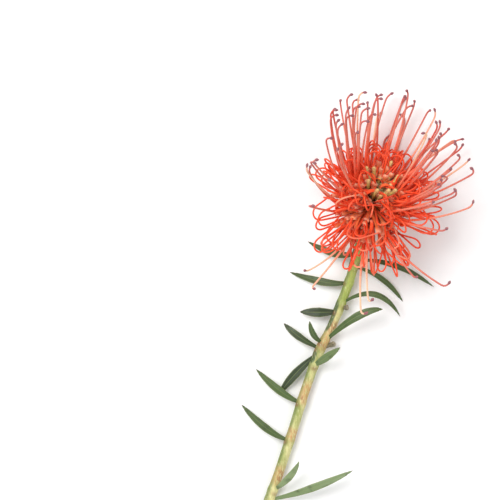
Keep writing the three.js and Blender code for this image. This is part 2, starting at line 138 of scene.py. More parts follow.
def laid_on(points: np.ndarray, radius: float) -> np.ndarray:
    """Bends points that would sink below the surface so that they lie along it.

    Args:
        points: places in millimetres, one to a row.
        radius: half the thickness of what lies there.

    Returns:
        The places, none lower than the radius above the surface.
    """
    lifted = points.copy()
    lowest = radius + PRESSED
    depth = (points[..., 2] - lowest) / SETTLING
    lifted[..., 2] = lowest + SETTLING * np.logaddexp(0, depth)
    return lifted


def bezier(
    base: Sequence[float], bend: Sequence[float], tip: Sequence[float], shares: np.ndarray
) -> np.ndarray:
    """Points on a quadratic curve.

    Args:
        base: where the curve starts.
        bend: the point that it bends towards.
        tip: where it ends.
        shares: how far along each wanted point is, from 0 to 1.

    Returns:
        One point for each share.
    """
    s = np.asarray(shares)[:, None]
    start, middle, end = np.asarray(base), np.asarray(bend), np.asarray(tip)
    return (1 - s) ** 2 * start + 2 * s * (1 - s) * middle + s * s * end


def catmull_rom(knots: np.ndarray, steps: int) -> np.ndarray:
    """Points on a centripetal Catmull-Rom curve through the knots.

    Args:
        knots: the points that the curve passes through.
        steps: how many points each stretch between two knots gets.

    Returns:
        Points along the whole curve.
    """
    padded = np.vstack([2 * knots[0] - knots[1], knots, 2 * knots[-1] - knots[-2]])
    pieces = []
    for a, b, c, d in zip(padded, padded[1:], padded[2:], padded[3:]):
        before, across, after = (math.sqrt(np.linalg.norm(q - p)) for p, q in ((a, b), (b, c), (c, d)))
        leave = ((b - a) / before - (c - a) / (before + across) + (c - b) / across) * across
        arrive = ((c - b) / across - (d - b) / (across + after) + (d - c) / after) * across
        s = np.linspace(0, 1, steps, endpoint=False)[:, None]
        cubic = 2 * b - 2 * c + leave + arrive
        square = -3 * b + 3 * c - 2 * leave - arrive
        pieces.append(cubic * s**3 + square * s**2 + leave * s + b)
    return np.vstack([*pieces, knots[-1:]])


def evenly(points: np.ndarray, shares: np.ndarray) -> np.ndarray:
    """Places at shares of the length of a line of points.

    Args:
        points: the line.
        shares: how far along its length each wanted place is, from 0 to 1.

    Returns:
        One place for each share.
    """
    lengths = np.concatenate([[0], np.cumsum(np.linalg.norm(np.diff(points, axis=0), axis=1))])
    wanted = np.asarray(shares) * lengths[-1]
    return np.stack([np.interp(wanted, lengths, points[:, axis]) for axis in range(3)], axis=-1)


# ---- Meshes ----


def tangents_of(points: np.ndarray) -> np.ndarray:
    """Directions along a line of points.

    Args:
        points: the line.

    Returns:
        One direction for each point, from its neighbours.
    """
    ends = np.vstack([points[1:], points[-1:]])
    starts = np.vstack([points[:1], points[:-1]])
    return unit(ends - starts)


def carried_along(tangents: np.ndarray, first: np.ndarray) -> np.ndarray:
    """Sideways directions that keep their roll all along a line.

    Args:
        tangents: the directions along the line.
        first: roughly the sideways direction at its start.

    Returns:
        One sideways direction for each tangent.
    """
    across = np.asarray(first, float)
    sides = []
    for tangent in tangents:
        across = across - across.dot(tangent) * tangent
        across = across / max(np.linalg.norm(across), SHORTEST)
        sides.append(across)
    return np.array(sides)


def swept(
    points: np.ndarray, widths: np.ndarray, heights: np.ndarray, sides: int, first: np.ndarray
) -> np.ndarray:
    """Oval rings along a line.

    Args:
        points: the middle of each ring.
        widths: half the width of each ring.
        heights: half its height.
        sides: how many points each ring has.
        first: roughly the direction of the width at the start.

    Returns:
        An array of rings, points and coordinates.
    """
    tangents = tangents_of(points)
    across = carried_along(tangents, first)
    along = np.cross(tangents, across)
    angle = np.linspace(0, 2 * math.pi, sides, endpoint=False)
    wide = across[:, None] * (np.cos(angle)[None, :, None] * np.asarray(widths)[:, None, None])
    high = along[:, None] * (np.sin(angle)[None, :, None] * np.asarray(heights)[:, None, None])
    return points[:, None] + wide + high


@dataclass
class MeshPile:
    """Many small forms gathered into one mesh, with values at each point that its finish reads."""

    points: list[np.ndarray] = field(default_factory=list)
    faces: list[list[int]] = field(default_factory=list)
    values: dict[str, list[np.ndarray]] = field(default_factory=dict)
    count: int = 0

    def add(self, points: np.ndarray, faces: Iterable[Sequence[int]], **values: float | np.ndarray) -> None:
        """Adds one form.

        Args:
            points: its points in millimetres, in the flower's own frame.
            faces: its faces, as numbers of those points.
            **values: a number for the whole form, or one for each of its points.
        """
        self.points.append(points)
        self.faces.extend([[corner + self.count for corner in face] for face in faces])
        for name, value in values.items():
            self.values.setdefault(name, []).append(np.broadcast_to(value, len(points)))
        self.count += len(points)

    def add_rings(self, rings: np.ndarray, **values: float | np.ndarray) -> None:
        """Adds one closed form made of rings.

        Args:
            rings: an array of rings, points and coordinates.
            **values: a number for the whole form, one for each ring, or one for each point.
        """
        stations, around = rings.shape[:2]
        here = (np.arange(stations - 1)[:, None] * around + np.arange(around)).ravel()
        beside = (np.arange(stations - 1)[:, None] * around + (np.arange(around) + 1) % around).ravel()
        walls = np.stack([here, beside, beside + around, here + around], axis=-1).tolist()
        last = (stations - 1) * around
        caps = [list(range(around))[::-1], list(range(last, last + around))]
        spread_out = {}
        for name, value in values.items():
            value = np.asarray(value, float)
            spread_out[name] = np.repeat(value, around) if value.shape == (stations,) else value.ravel()
            if value.shape == ():
                spread_out[name] = float(value)
        self.add(rings.reshape(-1, 3), walls + caps, **spread_out)

    def add_hairs(
        self, roots: np.ndarray, tips: np.ndarray, radius: float, **values: float | np.ndarray
    ) -> None:
        """Adds hairs as slim closed three-sided needles.

        Args:
            roots: where the hairs start, one to a row.
            tips: where they end.
            radius: their radius at the root.
            **values: a number for all hairs or one for each hair.
        """
        directions = unit(tips - roots)
        across = unit(np.cross(directions, HAIR_SIDEWAYS))
        along = np.cross(directions, across)
        angles = np.radians([0, 120, 240])
        feet = [roots + radius * (across * math.cos(angle) + along * math.sin(angle)) for angle in angles]
        points = np.stack([*feet, tips], axis=1).reshape(-1, 3)
        needle = np.array([[0, 1, 3], [1, 2, 3], [2, 0, 3], [2, 1, 0]])
        faces = (4 * np.arange(len(roots))[:, None, None] + needle).reshape(-1, 3).tolist()
        repeated = {key: np.repeat(np.broadcast_to(value, len(roots)), 4) for key, value in values.items()}
        self.add(points, faces, **repeated)

    def piece(
        self, name: str, slot: str, material: bpy.types.Material, stands_for: Sequence[str]
    ) -> bpy.types.Object:
        """Makes the mesh an object of the flower.

        Args:
            name: the name of the piece.
            slot: not used.
            material: its finish.
            stands_for: the solids that it is shown in place of.

        Returns:
            The object, riding on the flower's only body.
        """
        mesh = bpy.data.meshes.new(name)
        points = np.vstack(self.points)
        points[:, 2] = np.maximum(points[:, 2], PRESSED + LIFT)
        mesh.from_pydata(((points + ORIGIN) * METRE).tolist(), [], self.faces)
        for value_name, values in self.values.items():
            attribute = mesh.attributes.new(value_name, "FLOAT", "POINT")
            attribute.data.foreach_set("value", np.concatenate(values).astype(np.float32))
        mesh.shade_smooth()
        mesh.materials.append(material)
        piece = bpy.data.objects.new(name, mesh)
        bpy.context.scene.collection.objects.link(piece)
        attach(piece, "root")
        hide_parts(*stands_for)
        triangles = sum(len(face) - 2 for face in self.faces)
        LOG.info("%s: %d triangles", name, triangles)
        return piece


def hairs_on(
    rings: np.ndarray,
    stations: np.ndarray,
    share: float,
    length: float,
    lean: float,
    dice: np.random.Generator,
) -> tuple[np.ndarray, np.ndarray]:
    """Roots and tips of hairs that stand out from a ringed form.

    Args:
        rings: the form.
        stations: the numbers of the rings that carry hairs.
        share: how many hairs each point of those rings gets.
        length: the length of a hair in millimetres.
        lean: how much it leans towards the end of the form.
        dice: the seeded generator.

    Returns:
        The roots and the tips.
    """
    middles = rings.mean(axis=1)
    tangents = tangents_of(middles)
    around = rings.shape[1]
    count = max(1, int(len(stations) * around * share))
    station = dice.choice(stations, count)
    side = dice.integers(0, around, count)
    slide = dice.random((count, 1))
    beside = rings[station, (side + 1) % around]
    roots = rings[station, side] * (1 - slide) + beside * slide
    outward = unit(roots - middles[station])
    loose = dice.normal(0, HAIR_LOOSE, (count, 3))
    direction = unit(outward + lean * tangents[station] + loose)
    reach = length * (HAIR_LEAST + HAIR_RANGE * dice.random((count, 1)))
    return roots - HAIR_DEPTH * outward, roots + direction * reach


def add_down(hairs: MeshPile, roots: np.ndarray, tips: np.ndarray, dice: np.random.Generator) -> None:
    """Adds hairs that stay above the surface, each with its own shade.

    Args:
        hairs: the pile that takes them.
        roots: where they start.
        tips: where they would end if nothing were below them.
        dice: the seeded generator.
    """
    hairs.add_hairs(roots, laid_on(tips, HAIR_CLEARANCE), HAIR_RADIUS, tint=dice.random(len(roots)))


def limb_swelling(shares: np.ndarray, start: float, full: float, thinner: float, end: float) -> np.ndarray:
    """How far a floret swells into its limb, from 0 to 1.

    Args:
        shares: how far along the floret each wanted place is.
        start: where it starts to swell.
        full: where the limb is at its widest.
        thinner: where it starts to narrow again.
        end: where it would have narrowed to nothing.

    Returns:
        The swelling at each place.
    """
    return smooth_step(start, full, shares) * (1 - smooth_step(thinner, end, shares))


# ---- Finishes ----


def linear(colour: Colour) -> tuple[float, float, float, float]:
    """A screen colour, given from 0 to 255, as a shader colour."""
    parts = [part / 255 for part in colour]
    return (*[p / 12.92 if p <= 0.04045 else ((p + 0.055) / 1.055) ** 2.4 for p in parts], 1.0)


class Sum(Enum):
    """The ways in which a finish combines two values."""

    ADD = "ADD"
    SUBTRACT = "SUBTRACT"
    MULTIPLY = "MULTIPLY"
    MAXIMUM = "MAXIMUM"
    ABSOLUTE = "ABSOLUTE"
    SINE = "SINE"


class Graph:
    """The nodes of one finish, built a few words at a time."""

    MIX_BELOW = 6  # numbers of the colour sockets of a mix node, which share their names with others
    MIX_ABOVE = 7
    MIXED = 2

    def __init__(self, name: str, **sockets: float) -> None:
        """Starts a finish.

        Args:
            name: the name of the material.
            **sockets: numbers for the shader's own sockets, with _ for a space.
        """
        self.material = bpy.data.materials.new(name)
        self.material.use_nodes = True
        self.nodes = self.material.node_tree.nodes
        self.links = self.material.node_tree.links
        self.shader = self.nodes["Principled BSDF"]
        for socket, number in sockets.items():
            self.shader.inputs[socket.replace("_", " ")].default_value = number
        self.place = self.nodes.new("ShaderNodeTexCoord").outputs["Object"]

    def value(self, name: str) -> Socket:
        """A value that the mesh holds at each point.

        Args:
            name: the name that the mesh holds it under.

        Returns:
            The value.
        """
        node = self.nodes.new("ShaderNodeAttribute")
        node.attribute_name = name
        return node.outputs["Fac"]

    def noise(self, size: float, detail: float = 3, stretch: Triple = (1, 1, 1)) -> Socket:
        """A cloudy pattern.

        Args:
            size: the size of its clouds in millimetres.
            detail: how many finer layers it has.
            stretch: how much finer it is along each axis.

        Returns:
            The pattern, from 0 to 1.
        """
        mapping = self.nodes.new("ShaderNodeMapping")
        mapping.inputs["Scale"].default_value = stretch
        self.links.new(self.place, mapping.inputs["Vector"])
        node = self.nodes.new("ShaderNodeTexNoise")
        node.inputs["Scale"].default_value = 1 / (size * METRE)
        node.inputs["Detail"].default_value = detail
        self.links.new(mapping.outputs["Vector"], node.inputs["Vector"])
        return node.outputs["Fac"]

    def spots(self, size: float) -> Socket:
        """A pattern of cells.

        Args:
            size: the size of its cells in millimetres.

        Returns:
            The distance from the middle of the nearest cell, 0 at the middle.
        """
        node = self.nodes.new("ShaderNodeTexVoronoi")
        node.inputs["Scale"].default_value = 1 / (size * METRE)
        self.links.new(self.place, node.inputs["Vector"])
        return node.outputs["Distance"]

    def sum(self, first: Socket, second: Socket | float, operation: Sum = Sum.ADD) -> Socket:
        """Two values combined.

        Args:
            first: the first value.
            second: the second value or a plain number.
            operation: how they are combined.

        Returns:
            The result.
        """
        node = self.nodes.new("ShaderNodeMath")
        node.operation = operation.value
        self.links.new(first, node.inputs[0])
        if isinstance(second, (int, float)):
            node.inputs[1].default_value = second
        else:
            self.links.new(second, node.inputs[1])
        return node.outputs["Value"]

    def ramp(self, value: Socket, *stops: tuple[float, Colour]) -> Socket:
        """Colours along a value.

        Args:
            value: the value.
            *stops: where each colour stands, and the colour from 0 to 255.

        Returns:
            The colour.
        """
        node = self.nodes.new("ShaderNodeValToRGB")
        elements = node.color_ramp.elements
        while len(elements) < len(stops):
            elements.new(0.5)
        for element, (position, colour) in zip(elements, stops):
            element.position = position
            element.color = linear(colour)
        self.links.new(value, node.inputs["Fac"])
        return node.outputs["Color"]

    def band(self, value: Socket, start: float, end: float, low: float = 0, high: float = 1) -> Socket:
        """A value that goes smoothly from low to high as another goes from start to end.

        Args:
            value: the driving value.
            start: where the rise starts.
            end: where it ends.
            low: the result up to the start.
            high: the result from the end on.

        Returns:
            The result.
        """
        node = self.nodes.new("ShaderNodeMapRange")
        node.interpolation_type = "SMOOTHSTEP"
        for socket, number in zip(("From Min", "From Max", "To Min", "To Max"), (start, end, low, high)):
            node.inputs[socket].default_value = number
        self.links.new(value, node.inputs["Value"])
        return node.outputs["Result"]

    def mix(self, below: Socket, above: Colour, share: Socket) -> Socket:
        """One colour laid over another.

        Args:
            below: the colour below.
            above: the colour above.
            share: how much of it is laid on.

        Returns:
            The colour.
        """
        node = self.nodes.new("ShaderNodeMix")
        node.data_type = "RGBA"
        self.links.new(share, node.inputs["Factor"])
        self.links.new(below, node.inputs[self.MIX_BELOW])
        node.inputs[self.MIX_ABOVE].default_value = linear(above)
        return node.outputs[self.MIXED]

    def finished(
        self,
        colour: Socket,
        height: Socket | None = None,
        relief: float = 0.1,
        roughness: Socket | None = None,
    ) -> bpy.types.Material:
        """Wires up the shader.

        Args:
            colour: the colour of the surface.
            height: the pattern of its relief.
            relief: the depth of the relief in millimetres.
            roughness: the pattern of its roughness.

        Returns:
            The material.
        """
        self.links.new(colour, self.shader.inputs["Base Color"])
        if height is not None:
            bump = self.nodes.new("ShaderNodeBump")
            bump.inputs["Strength"].default_value = BUMP_STRENGTH
            bump.inputs["Distance"].default_value = relief * METRE
            self.links.new(height, bump.inputs["Height"])
            self.links.new(bump.outputs["Normal"], self.shader.inputs["Normal"])
        if roughness is not None:
            self.links.new(roughness, self.shader.inputs["Roughness"])
        return self.material


@dataclass(frozen=True)
class StyleFinish:
    """The smooth skin of a style: orange at its foot, coral along it and dusty rose towards its tip, with
    pale streaks that are partly painted highlight.
    """

    name: str
    foot: Colour = (222, 112, 34)
    shank: Colour = (248, 96, 58)
    neck: Colour = (228, 136, 114)
    tip: Colour = (194, 98, 92)
    pale: Colour = (246, 158, 128)
    deep: Colour = (200, 42, 20)
    cream: Colour = (250, 218, 180)

    def material(self) -> bpy.types.Material:
        """Builds the material."""
        graph = Graph(
            self.name,
            Roughness=0.42,
            Specular_IOR_Level=0.3,
            Subsurface_Weight=0.12,
            Subsurface_Scale=METRE,
        )
        along = graph.value("along")
        tint = graph.value("tint")
        skin = ((0, self.foot), (0.14, self.shank), (0.34, self.shank), (0.62, self.neck), (1, self.tip))
        colour = graph.ramp(along, *skin)
        colour = graph.mix(colour, self.pale, graph.band(tint, 0.82, 1, 0, 0.55))
        faded = graph.sum(graph.band(tint, 0.9, 1), graph.band(along, 0.35, 0.8, 0, 0.75), Sum.MULTIPLY)
        colour = graph.mix(colour, self.cream, faded)
        colour = graph.mix(colour, self.deep, graph.band(tint, 0.25, 0, 0, 0.6))
        streaks = graph.noise(1.2, 4)
        colour = graph.mix(colour, self.deep, graph.band(streaks, 0.5, 0.75, 0, 0.4))
        # Pale streaks: random tone, laid on as a painted highlight along the styles.
        colour = graph.mix(colour, self.pale, graph.band(streaks, 0.45, 0.25, 0, 0.3))
        return graph.finished(colour, streaks, 0.08, graph.band(streaks, 0.3, 0.7, 0.36, 0.55))


@dataclass(frozen=True)
class PresenterFinish:
    """The pollen presenter: a dusky purple pin head with a grainy skin."""

    name: str = "pollen_presenter"
    dusk: Colour = (142, 86, 96)
    rose: Colour = (190, 96, 98)
    pollen: Colour = (214, 170, 128)

    def material(self) -> bpy.types.Material:
        """Builds the material."""
        graph = Graph(self.name, Roughness=0.6)
        skin = ((0, self.rose), (0.4, self.dusk), (0.85, self.dusk), (1, self.rose))
        colour = graph.ramp(graph.value("along"), *skin)
        grains = graph.noise(0.35, 4)
        colour = graph.mix(colour, self.pollen, graph.band(grains, 0.56, 0.72, 0, 0.7))
        return graph.finished(colour, grains, 0.15)


@dataclass(frozen=True)
class PerianthFinish:
    """The rolled or upright perianth: ochre and orange at its foot, the ochre darkened as painted shade
    deep among the florets, red along it, with a dusky woolly limb and a painted highlight of pale orange on
    some lobes.
    """

    name: str
    foot: Colour = (150, 108, 36)
    tube: Colour = (212, 100, 30)
    lobe: Colour = (246, 80, 28)
    limb: Colour = (246, 172, 140)
    shade: Colour = (186, 46, 24)
    painted_highlight: Colour = (250, 150, 84)

    def material(self) -> bpy.types.Material:
        """Builds the material."""
        graph = Graph(
            self.name,
            Roughness=0.6,
            Specular_IOR_Level=0.3,
            Sheen_Weight=0.12,
            Sheen_Roughness=0.5,
            Subsurface_Weight=0.12,
            Subsurface_Scale=METRE,
        )
        # The dark ochre foot is partly the tube's own colour and partly painted shade where the perianths
        # sink in among the florets.
        skin = ((0, self.foot), (0.3, self.tube), (0.55, self.lobe), (0.86, self.lobe), (1, self.limb))
        colour = graph.ramp(graph.value("along"), *skin)
        # Painted highlight: pale orange laid on the lobes with the highest tint.
        colour = graph.mix(colour, self.painted_highlight, graph.band(graph.value("tint"), 0.7, 1, 0, 0.6))
        streaks = graph.noise(0.9, 4)
        colour = graph.mix(colour, self.shade, graph.band(streaks, 0.52, 0.78, 0, 0.55))
        return graph.finished(colour, streaks, 0.12)


@dataclass(frozen=True)
class BudFinish:
    """A closed floret: olive tube, straw-yellow shoulder and a pale woolly tip. The dark foot is painted
    shade in the hollow of the head, and the youngest buds, brown of their own, are darkened further with
    painted shade there.
    """

    name: str = "bud_tubes"
    foot: Colour = (98, 74, 26)
    tube: Colour = (166, 148, 54)
    shoulder: Colour = (218, 200, 108)
    tip: Colour = (224, 190, 124)
    streak: Colour = (128, 104, 36)
    young_shade: Colour = (84, 70, 28)

    def material(self) -> bpy.types.Material:
        """Builds the material."""
        graph = Graph(
            self.name, Roughness=0.62, Specular_IOR_Level=0.3, Sheen_Weight=0.1, Sheen_Roughness=0.5
        )
        # The dark foot paints the shade at the bottom of the hollow.
        skin = ((0, self.foot), (0.3, self.tube), (0.7, self.shoulder), (0.9, self.tip))
        colour = graph.ramp(graph.value("along"), *skin)
        # Painted shade: the youngest buds, in the middle of the hollow, are darkened, on top of their own
        # brown.
        colour = graph.mix(colour, self.young_shade, graph.band(graph.value("tint"), 0.3, 0.9, 0, 0.75))
        streaks = graph.noise(0.8, 4)
        colour = graph.mix(colour, self.streak, graph.band(streaks, 0.5, 0.75, 0, 0.6))
        return graph.finished(colour, streaks, 0.12)


@dataclass(frozen=True)
class HairFinish:
    """Fine pale hairs."""

    name: str
    root: Colour = (226, 150, 130)
    tip: Colour = (246, 222, 206)

    def material(self) -> bpy.types.Material:
        """Builds the material."""
        graph = Graph(self.name, Roughness=0.5, Sheen_Weight=0.2)
        colour = graph.ramp(graph.value("tint"), (0, self.root), (1, self.tip))
        shade = graph.noise(2.0, 2)
        colour = graph.mix(colour, self.root, graph.band(shade, 0.45, 0.7, 0, 0.5))
        return graph.finished(colour)


@dataclass(frozen=True)
class WoollyFinish:
    """A matt surface of two colours, clouded and grainy: the receptacle and the bracts. It darkens towards
    its foot, which on the receptacle is painted shade deep among the florets.
    """

    name: str
    base: Colour
    edge: Colour
    dark: Colour

    def material(self) -> bpy.types.Material:
        """Builds the material."""
        graph = Graph(self.name, Roughness=0.75, Sheen_Weight=0.3, Sheen_Roughness=0.5)
        # The dark at the foot of the ramp is painted shade deep in the head, and shows on the receptacle's
        # lowest rings.
        wool = ((0, self.dark), (0.35, self.base), (0.8, self.base), (1, self.edge))
        colour = graph.ramp(graph.value("along"), *wool)
        clouds = graph.noise(1.1, 5)
        colour = graph.mix(colour, self.dark, graph.band(clouds, 0.5, 0.72, 0, 0.6))
        colour = graph.mix(colour, self.edge, graph.band(clouds, 0.42, 0.25, 0, 0.5))
        return graph.finished(colour, clouds, 0.15)


@dataclass(frozen=True)
class StemFinish:
    """Bark that is fresh green near the head and straw below, with tan patches and green leaf bases, and
    olive painted along one flank as shade.
    """

    name: str = "stem_bark"
    fresh: Colour = (158, 180, 78)
    straw: Colour = (216, 210, 146)
    green: Colour = (150, 160, 82)
    olive: Colour = (106, 122, 58)
    sheath: Colour = (64, 86, 44)
    tan: Colour = (206, 160, 106)
    brown: Colour = (164, 110, 74)
    rust: Colour = (132, 78, 54)
    pale: Colour = (232, 226, 178)

    def material(self) -> bpy.types.Material:
        """Builds the material."""
        graph = Graph(self.name, Roughness=0.5, Subsurface_Weight=0.05, Subsurface_Scale=METRE)
        along = graph.value("along")
        patches = graph.noise(11, 4, (1.6, 0.8, 1.6))
        fibres = graph.noise(1.5, 5, (2.6, 0.45, 2.6))
        bark = ((0.38, self.green), (0.56, self.straw), (0.74, self.straw), (0.86, self.tan))
        colour = graph.ramp(patches, *bark)
        colour = graph.mix(colour, self.fresh, graph.band(along, 0.34, 0.2, 0, 0.85))
        # Painted shade: olive laid along the stem's left flank.
        colour = graph.mix(colour, self.olive, graph.band(graph.value("flank"), 0.1, 0.75, 0, 0.85))
        ragged = graph.band(fibres, 0.3, 0.6)
        tan = graph.sum(graph.value("tan"), ragged, Sum.MULTIPLY)
        colour = graph.mix(colour, self.tan, tan)
        browned = graph.sum(tan, graph.band(patches, 0.5, 0.62), Sum.MULTIPLY)
        colour = graph.mix(colour, self.brown, browned)
        colour = graph.mix(colour, self.sheath, graph.band(graph.value("sheath"), 0.25, 0.6, 0, 0.9))
        colour = graph.mix(colour, self.rust, graph.value("scar"))
        colour = graph.mix(colour, self.olive, graph.band(fibres, 0.52, 0.72, 0, 0.45))
        colour = graph.mix(colour, self.pale, graph.band(fibres, 0.44, 0.3, 0, 0.45))
        pores = graph.spots(1.9)
        colour = graph.mix(colour, self.brown, graph.band(pores, 0.16, 0.05, 0, 0.45))
        relief = graph.sum(fibres, patches)
        return graph.finished(colour, relief, 0.4, graph.band(fibres, 0.3, 0.7, 0.4, 0.68))


@dataclass(frozen=True)
class CutFinish:
    """The cut face of the stem: pale wood round a paler pith."""

    name: str = "cut_wood"
    pith: Colour = (232, 222, 186)
    wood: Colour = (206, 188, 132)
    bark: Colour = (128, 118, 62)

    def material(self) -> bpy.types.Material:
        """Builds the material."""
        graph = Graph(self.name, Roughness=0.8)
        fibres = graph.noise(0.4, 4)
        reach = graph.sum(graph.value("across"), graph.band(fibres, 0.2, 0.8, -0.05, 0.05))
        rings = ((0.2, self.pith), (0.32, self.wood), (0.82, self.wood), (0.9, self.bark))
        colour = graph.ramp(reach, *rings)
        return graph.finished(colour, fibres, 0.15)


@dataclass(frozen=True)
class LeafFinish:
    """A leathery blade: dull green with a pale midrib and side veins, paler below, red at the teeth."""

    name: str = "leaf_blade"
    dark: Colour = (30, 42, 24)
    green: Colour = (80, 102, 54)
    glaucous: Colour = (148, 166, 120)
    vein: Colour = (142, 158, 92)
    tooth: Colour = (96, 52, 44)
    margin: Colour = (138, 148, 84)
    side_veins: float = 26
    vein_slant: float = 2.6
    side_vein_strength: float = 0.45
    vein_strength: float = 0.42
    grain_strength: float = 0.35

    def material(self) -> bpy.types.Material:
        """Builds the material."""
        graph = Graph(self.name, Roughness=0.5, Subsurface_Weight=0.05, Subsurface_Scale=METRE)
        across = graph.value("across")
        along = graph.value("along")
        colour = graph.ramp(graph.value("tint"), (0, self.dark), (0.5, self.green), (1, self.glaucous))
        clouds = graph.noise(5, 4)
        colour = graph.mix(colour, self.dark, graph.band(clouds, 0.5, 0.75, 0, 0.5))
        colour = graph.mix(colour, self.glaucous, graph.band(graph.value("under"), 0.3, 0.7, 0, 0.45))
        reach = graph.sum(across, 0, Sum.ABSOLUTE)
        steps = graph.sum(along, self.side_veins, Sum.MULTIPLY)
        slant = graph.sum(steps, graph.sum(reach, self.vein_slant, Sum.MULTIPLY), Sum.SUBTRACT)
        wave = graph.sum(graph.sum(slant, 2 * math.pi, Sum.MULTIPLY), 0, Sum.SINE)
        beside = graph.sum(graph.band(wave, 0.82, 1), self.side_vein_strength, Sum.MULTIPLY)
        midrib = graph.band(reach, 0.1, 0.03)
        veins = graph.sum(midrib, beside, Sum.MAXIMUM)
        colour = graph.mix(colour, self.vein, graph.sum(veins, self.vein_strength, Sum.MULTIPLY))
        colour = graph.mix(colour, self.margin, graph.band(reach, 0.8, 1, 0, 0.7))
        colour = graph.mix(colour, self.tooth, graph.value("tooth"))
        grain = graph.noise(0.5, 3)
        relief = graph.sum(graph.sum(grain, self.grain_strength, Sum.MULTIPLY), veins)
        return graph.finished(colour, relief, 0.16, graph.band(clouds, 0.3, 0.7, 0.34, 0.52))


# ---- The head ----


class Stage(Enum):
    """How far a floret has come."""

    OPEN = "open"
    LOOP = "loop"
    BUD = "bud"


@dataclass(frozen=True)
class HeadFrame:
    """The axis of the head and the two directions across it."""

    lean: float = math.radians(18)
    tilt: float = math.radians(50)
    neck: Triple = (2.0, 11.5, 15)

    @property
    def axis(self) -> np.ndarray:
        """Direction from the stem out through the middle of the head."""
        flat = math.cos(self.tilt)
        return np.array([flat * math.sin(self.lean), flat * math.cos(self.lean), math.sin(self.tilt)])

    @property
    def far(self) -> np.ndarray:
        """Direction across the axis towards the underside of the head."""
        flat = math.sin(self.tilt)
        return np.array([flat * math.sin(self.lean), flat * math.cos(self.lean), -math.cos(self.tilt)])

    @property
    def side(self) -> np.ndarray:
        """Level direction across the axis."""
        return np.array([math.cos(self.lean), -math.sin(self.lean), 0.0])

    def outward(self, round_: float) -> np.ndarray:
        """The direction straight out from the axis, at an angle round it."""
        return self.far * math.cos(round_) + self.side * math.sin(round_)

    def sideways(self, round_: float) -> np.ndarray:
        """The direction round the axis, at an angle round it."""
        return self.side * math.cos(round_) - self.far * math.sin(round_)

    def point(
        self, up: float | np.ndarray, out: float | np.ndarray, round_: float | np.ndarray
    ) -> np.ndarray:
        """Places in the head.

        Args:
            up: height up the axis from the neck.
            out: distance from the axis.
            round_: angle round the axis from the far side.

        Returns:
            The places in millimetres, one to a row.
        """
        up, out, round_ = np.broadcast_arrays(*[np.asarray(part, float) for part in (up, out, round_)])
        across = self.far * np.cos(round_)[..., None] + self.side * np.sin(round_)[..., None]
        return np.array(self.neck) + self.axis * up[..., None] + across * out[..., None]

    def ring(self, up: float, out: float, sides: int) -> np.ndarray:
        """A ring of points round the axis, turning with it."""
        return self.point(up, out, np.linspace(0, -2 * math.pi, sides, endpoint=False))


HEAD = HeadFrame()


@dataclass(frozen=True)
class HeadSizes:
    """Sizes that set the florets of the head, in millimetres, with their spreads in radians."""

    florets: int = 240
    open_share: float = 0.47
    bud_share: float = 0.83
    radius: float = 9
    height: float = 25
    tip_radius: float = 1.2
    bare: float = 2
    root_depth: float = 2.4
    root_out: float = 0.2
    style_length: float = 70
    style_radius: float = 0.75
    round_spread: float = 0.07
    sway: float = 0.25
    perianth_radius: float = 1.0
    limb_radius: float = 1.5
    bud_length: float = 20
    bud_least: float = 2
    bud_shorter: float = 2.6
    bud_radius: float = 1.0
    bud_limb_radius: float = 1.2


@dataclass(frozen=True)
class OpenHabit:
    """How an open floret's style leaves the axis and turns, in degrees."""

    opening: float = 45
    with_age: float = 18
    near_side: float = 55
    under_side: float = 45
    flank: float = 30
    loose: float = 7
    bend: float = 8
    bend_with_age: float = 16
    loose_bend: float = 9
    hook: float = 72
    loose_hook: float = 45
    hook_from: float = 0.87
    roll: float = 0.9
    reach: float = 0.97
    loose_reach: float = 0.06


@dataclass(frozen=True)
class LoopHabit:
    """How a looping floret's style leaves the axis and turns, in degrees, and its length as a share."""

    late: float = 0.12
    late_near_side: float = 0.72
    late_width: float = 0.75
    opening: float = 38
    with_growth: float = 27
    with_age: float = 18
    near_side: float = 38
    loose: float = 14
    turn: float = 184
    loose_turn: float = 26
    turn_from: float = 0.42
    later: float = 0.05
    turn_to: float = 0.88
    sooner: float = 0.1
    roll: float = 1.3
    shortest: float = 0.53
    growth: float = 0.28
    loose_reach: float = 0.06


@dataclass(frozen=True)
class BudHabit:
    """How a closed floret leaves the axis, in degrees."""

    opening: float = 27
    upright: float = 21
    loose: float = 5
    bend: float = 10


@dataclass(frozen=True)
class LobeHabit:
    """How a lobe of the perianth leaves its style and curls back, in radians and millimetres."""

    count: int = 4
    opening: float = -0.25
    loose_opening: float = 0.12
    length: float = 31
    longest: float = 0.96
    loose_length: float = 0.1
    bend: float = -0.2
    turn: float = -5.2
    free_turn: float = 0.62
    least_turn: float = 0.85
    loose_turn: float = 0.3
    turn_from: float = 0.48
    loose_turn_from: float = 0.08
    roll: float = 0.9
    loose_roll: float = 0.35
    sway: float = 0.3
    apart: float = 0.5


@dataclass(frozen=True)
class Parting:
    """A place in the side of the head where the florets have been pushed apart, as angles round it."""

    middle: float = -1.9
    width: float = 0.35
    push: float = 0.6

    def pushed(self, round_: float) -> float:
        """The angle to which a floret at an angle is pushed."""
        away = (round_ - self.middle + math.pi) % (2 * math.pi) - math.pi
        return round_ + self.push * away * math.exp(-((away / self.width) ** 2))


SIZES = HeadSizes()
OPEN = OpenHabit()
LOOP = LoopHabit()
CLOSED = BudHabit()
LOBE = LobeHabit()
PARTING = Parting()


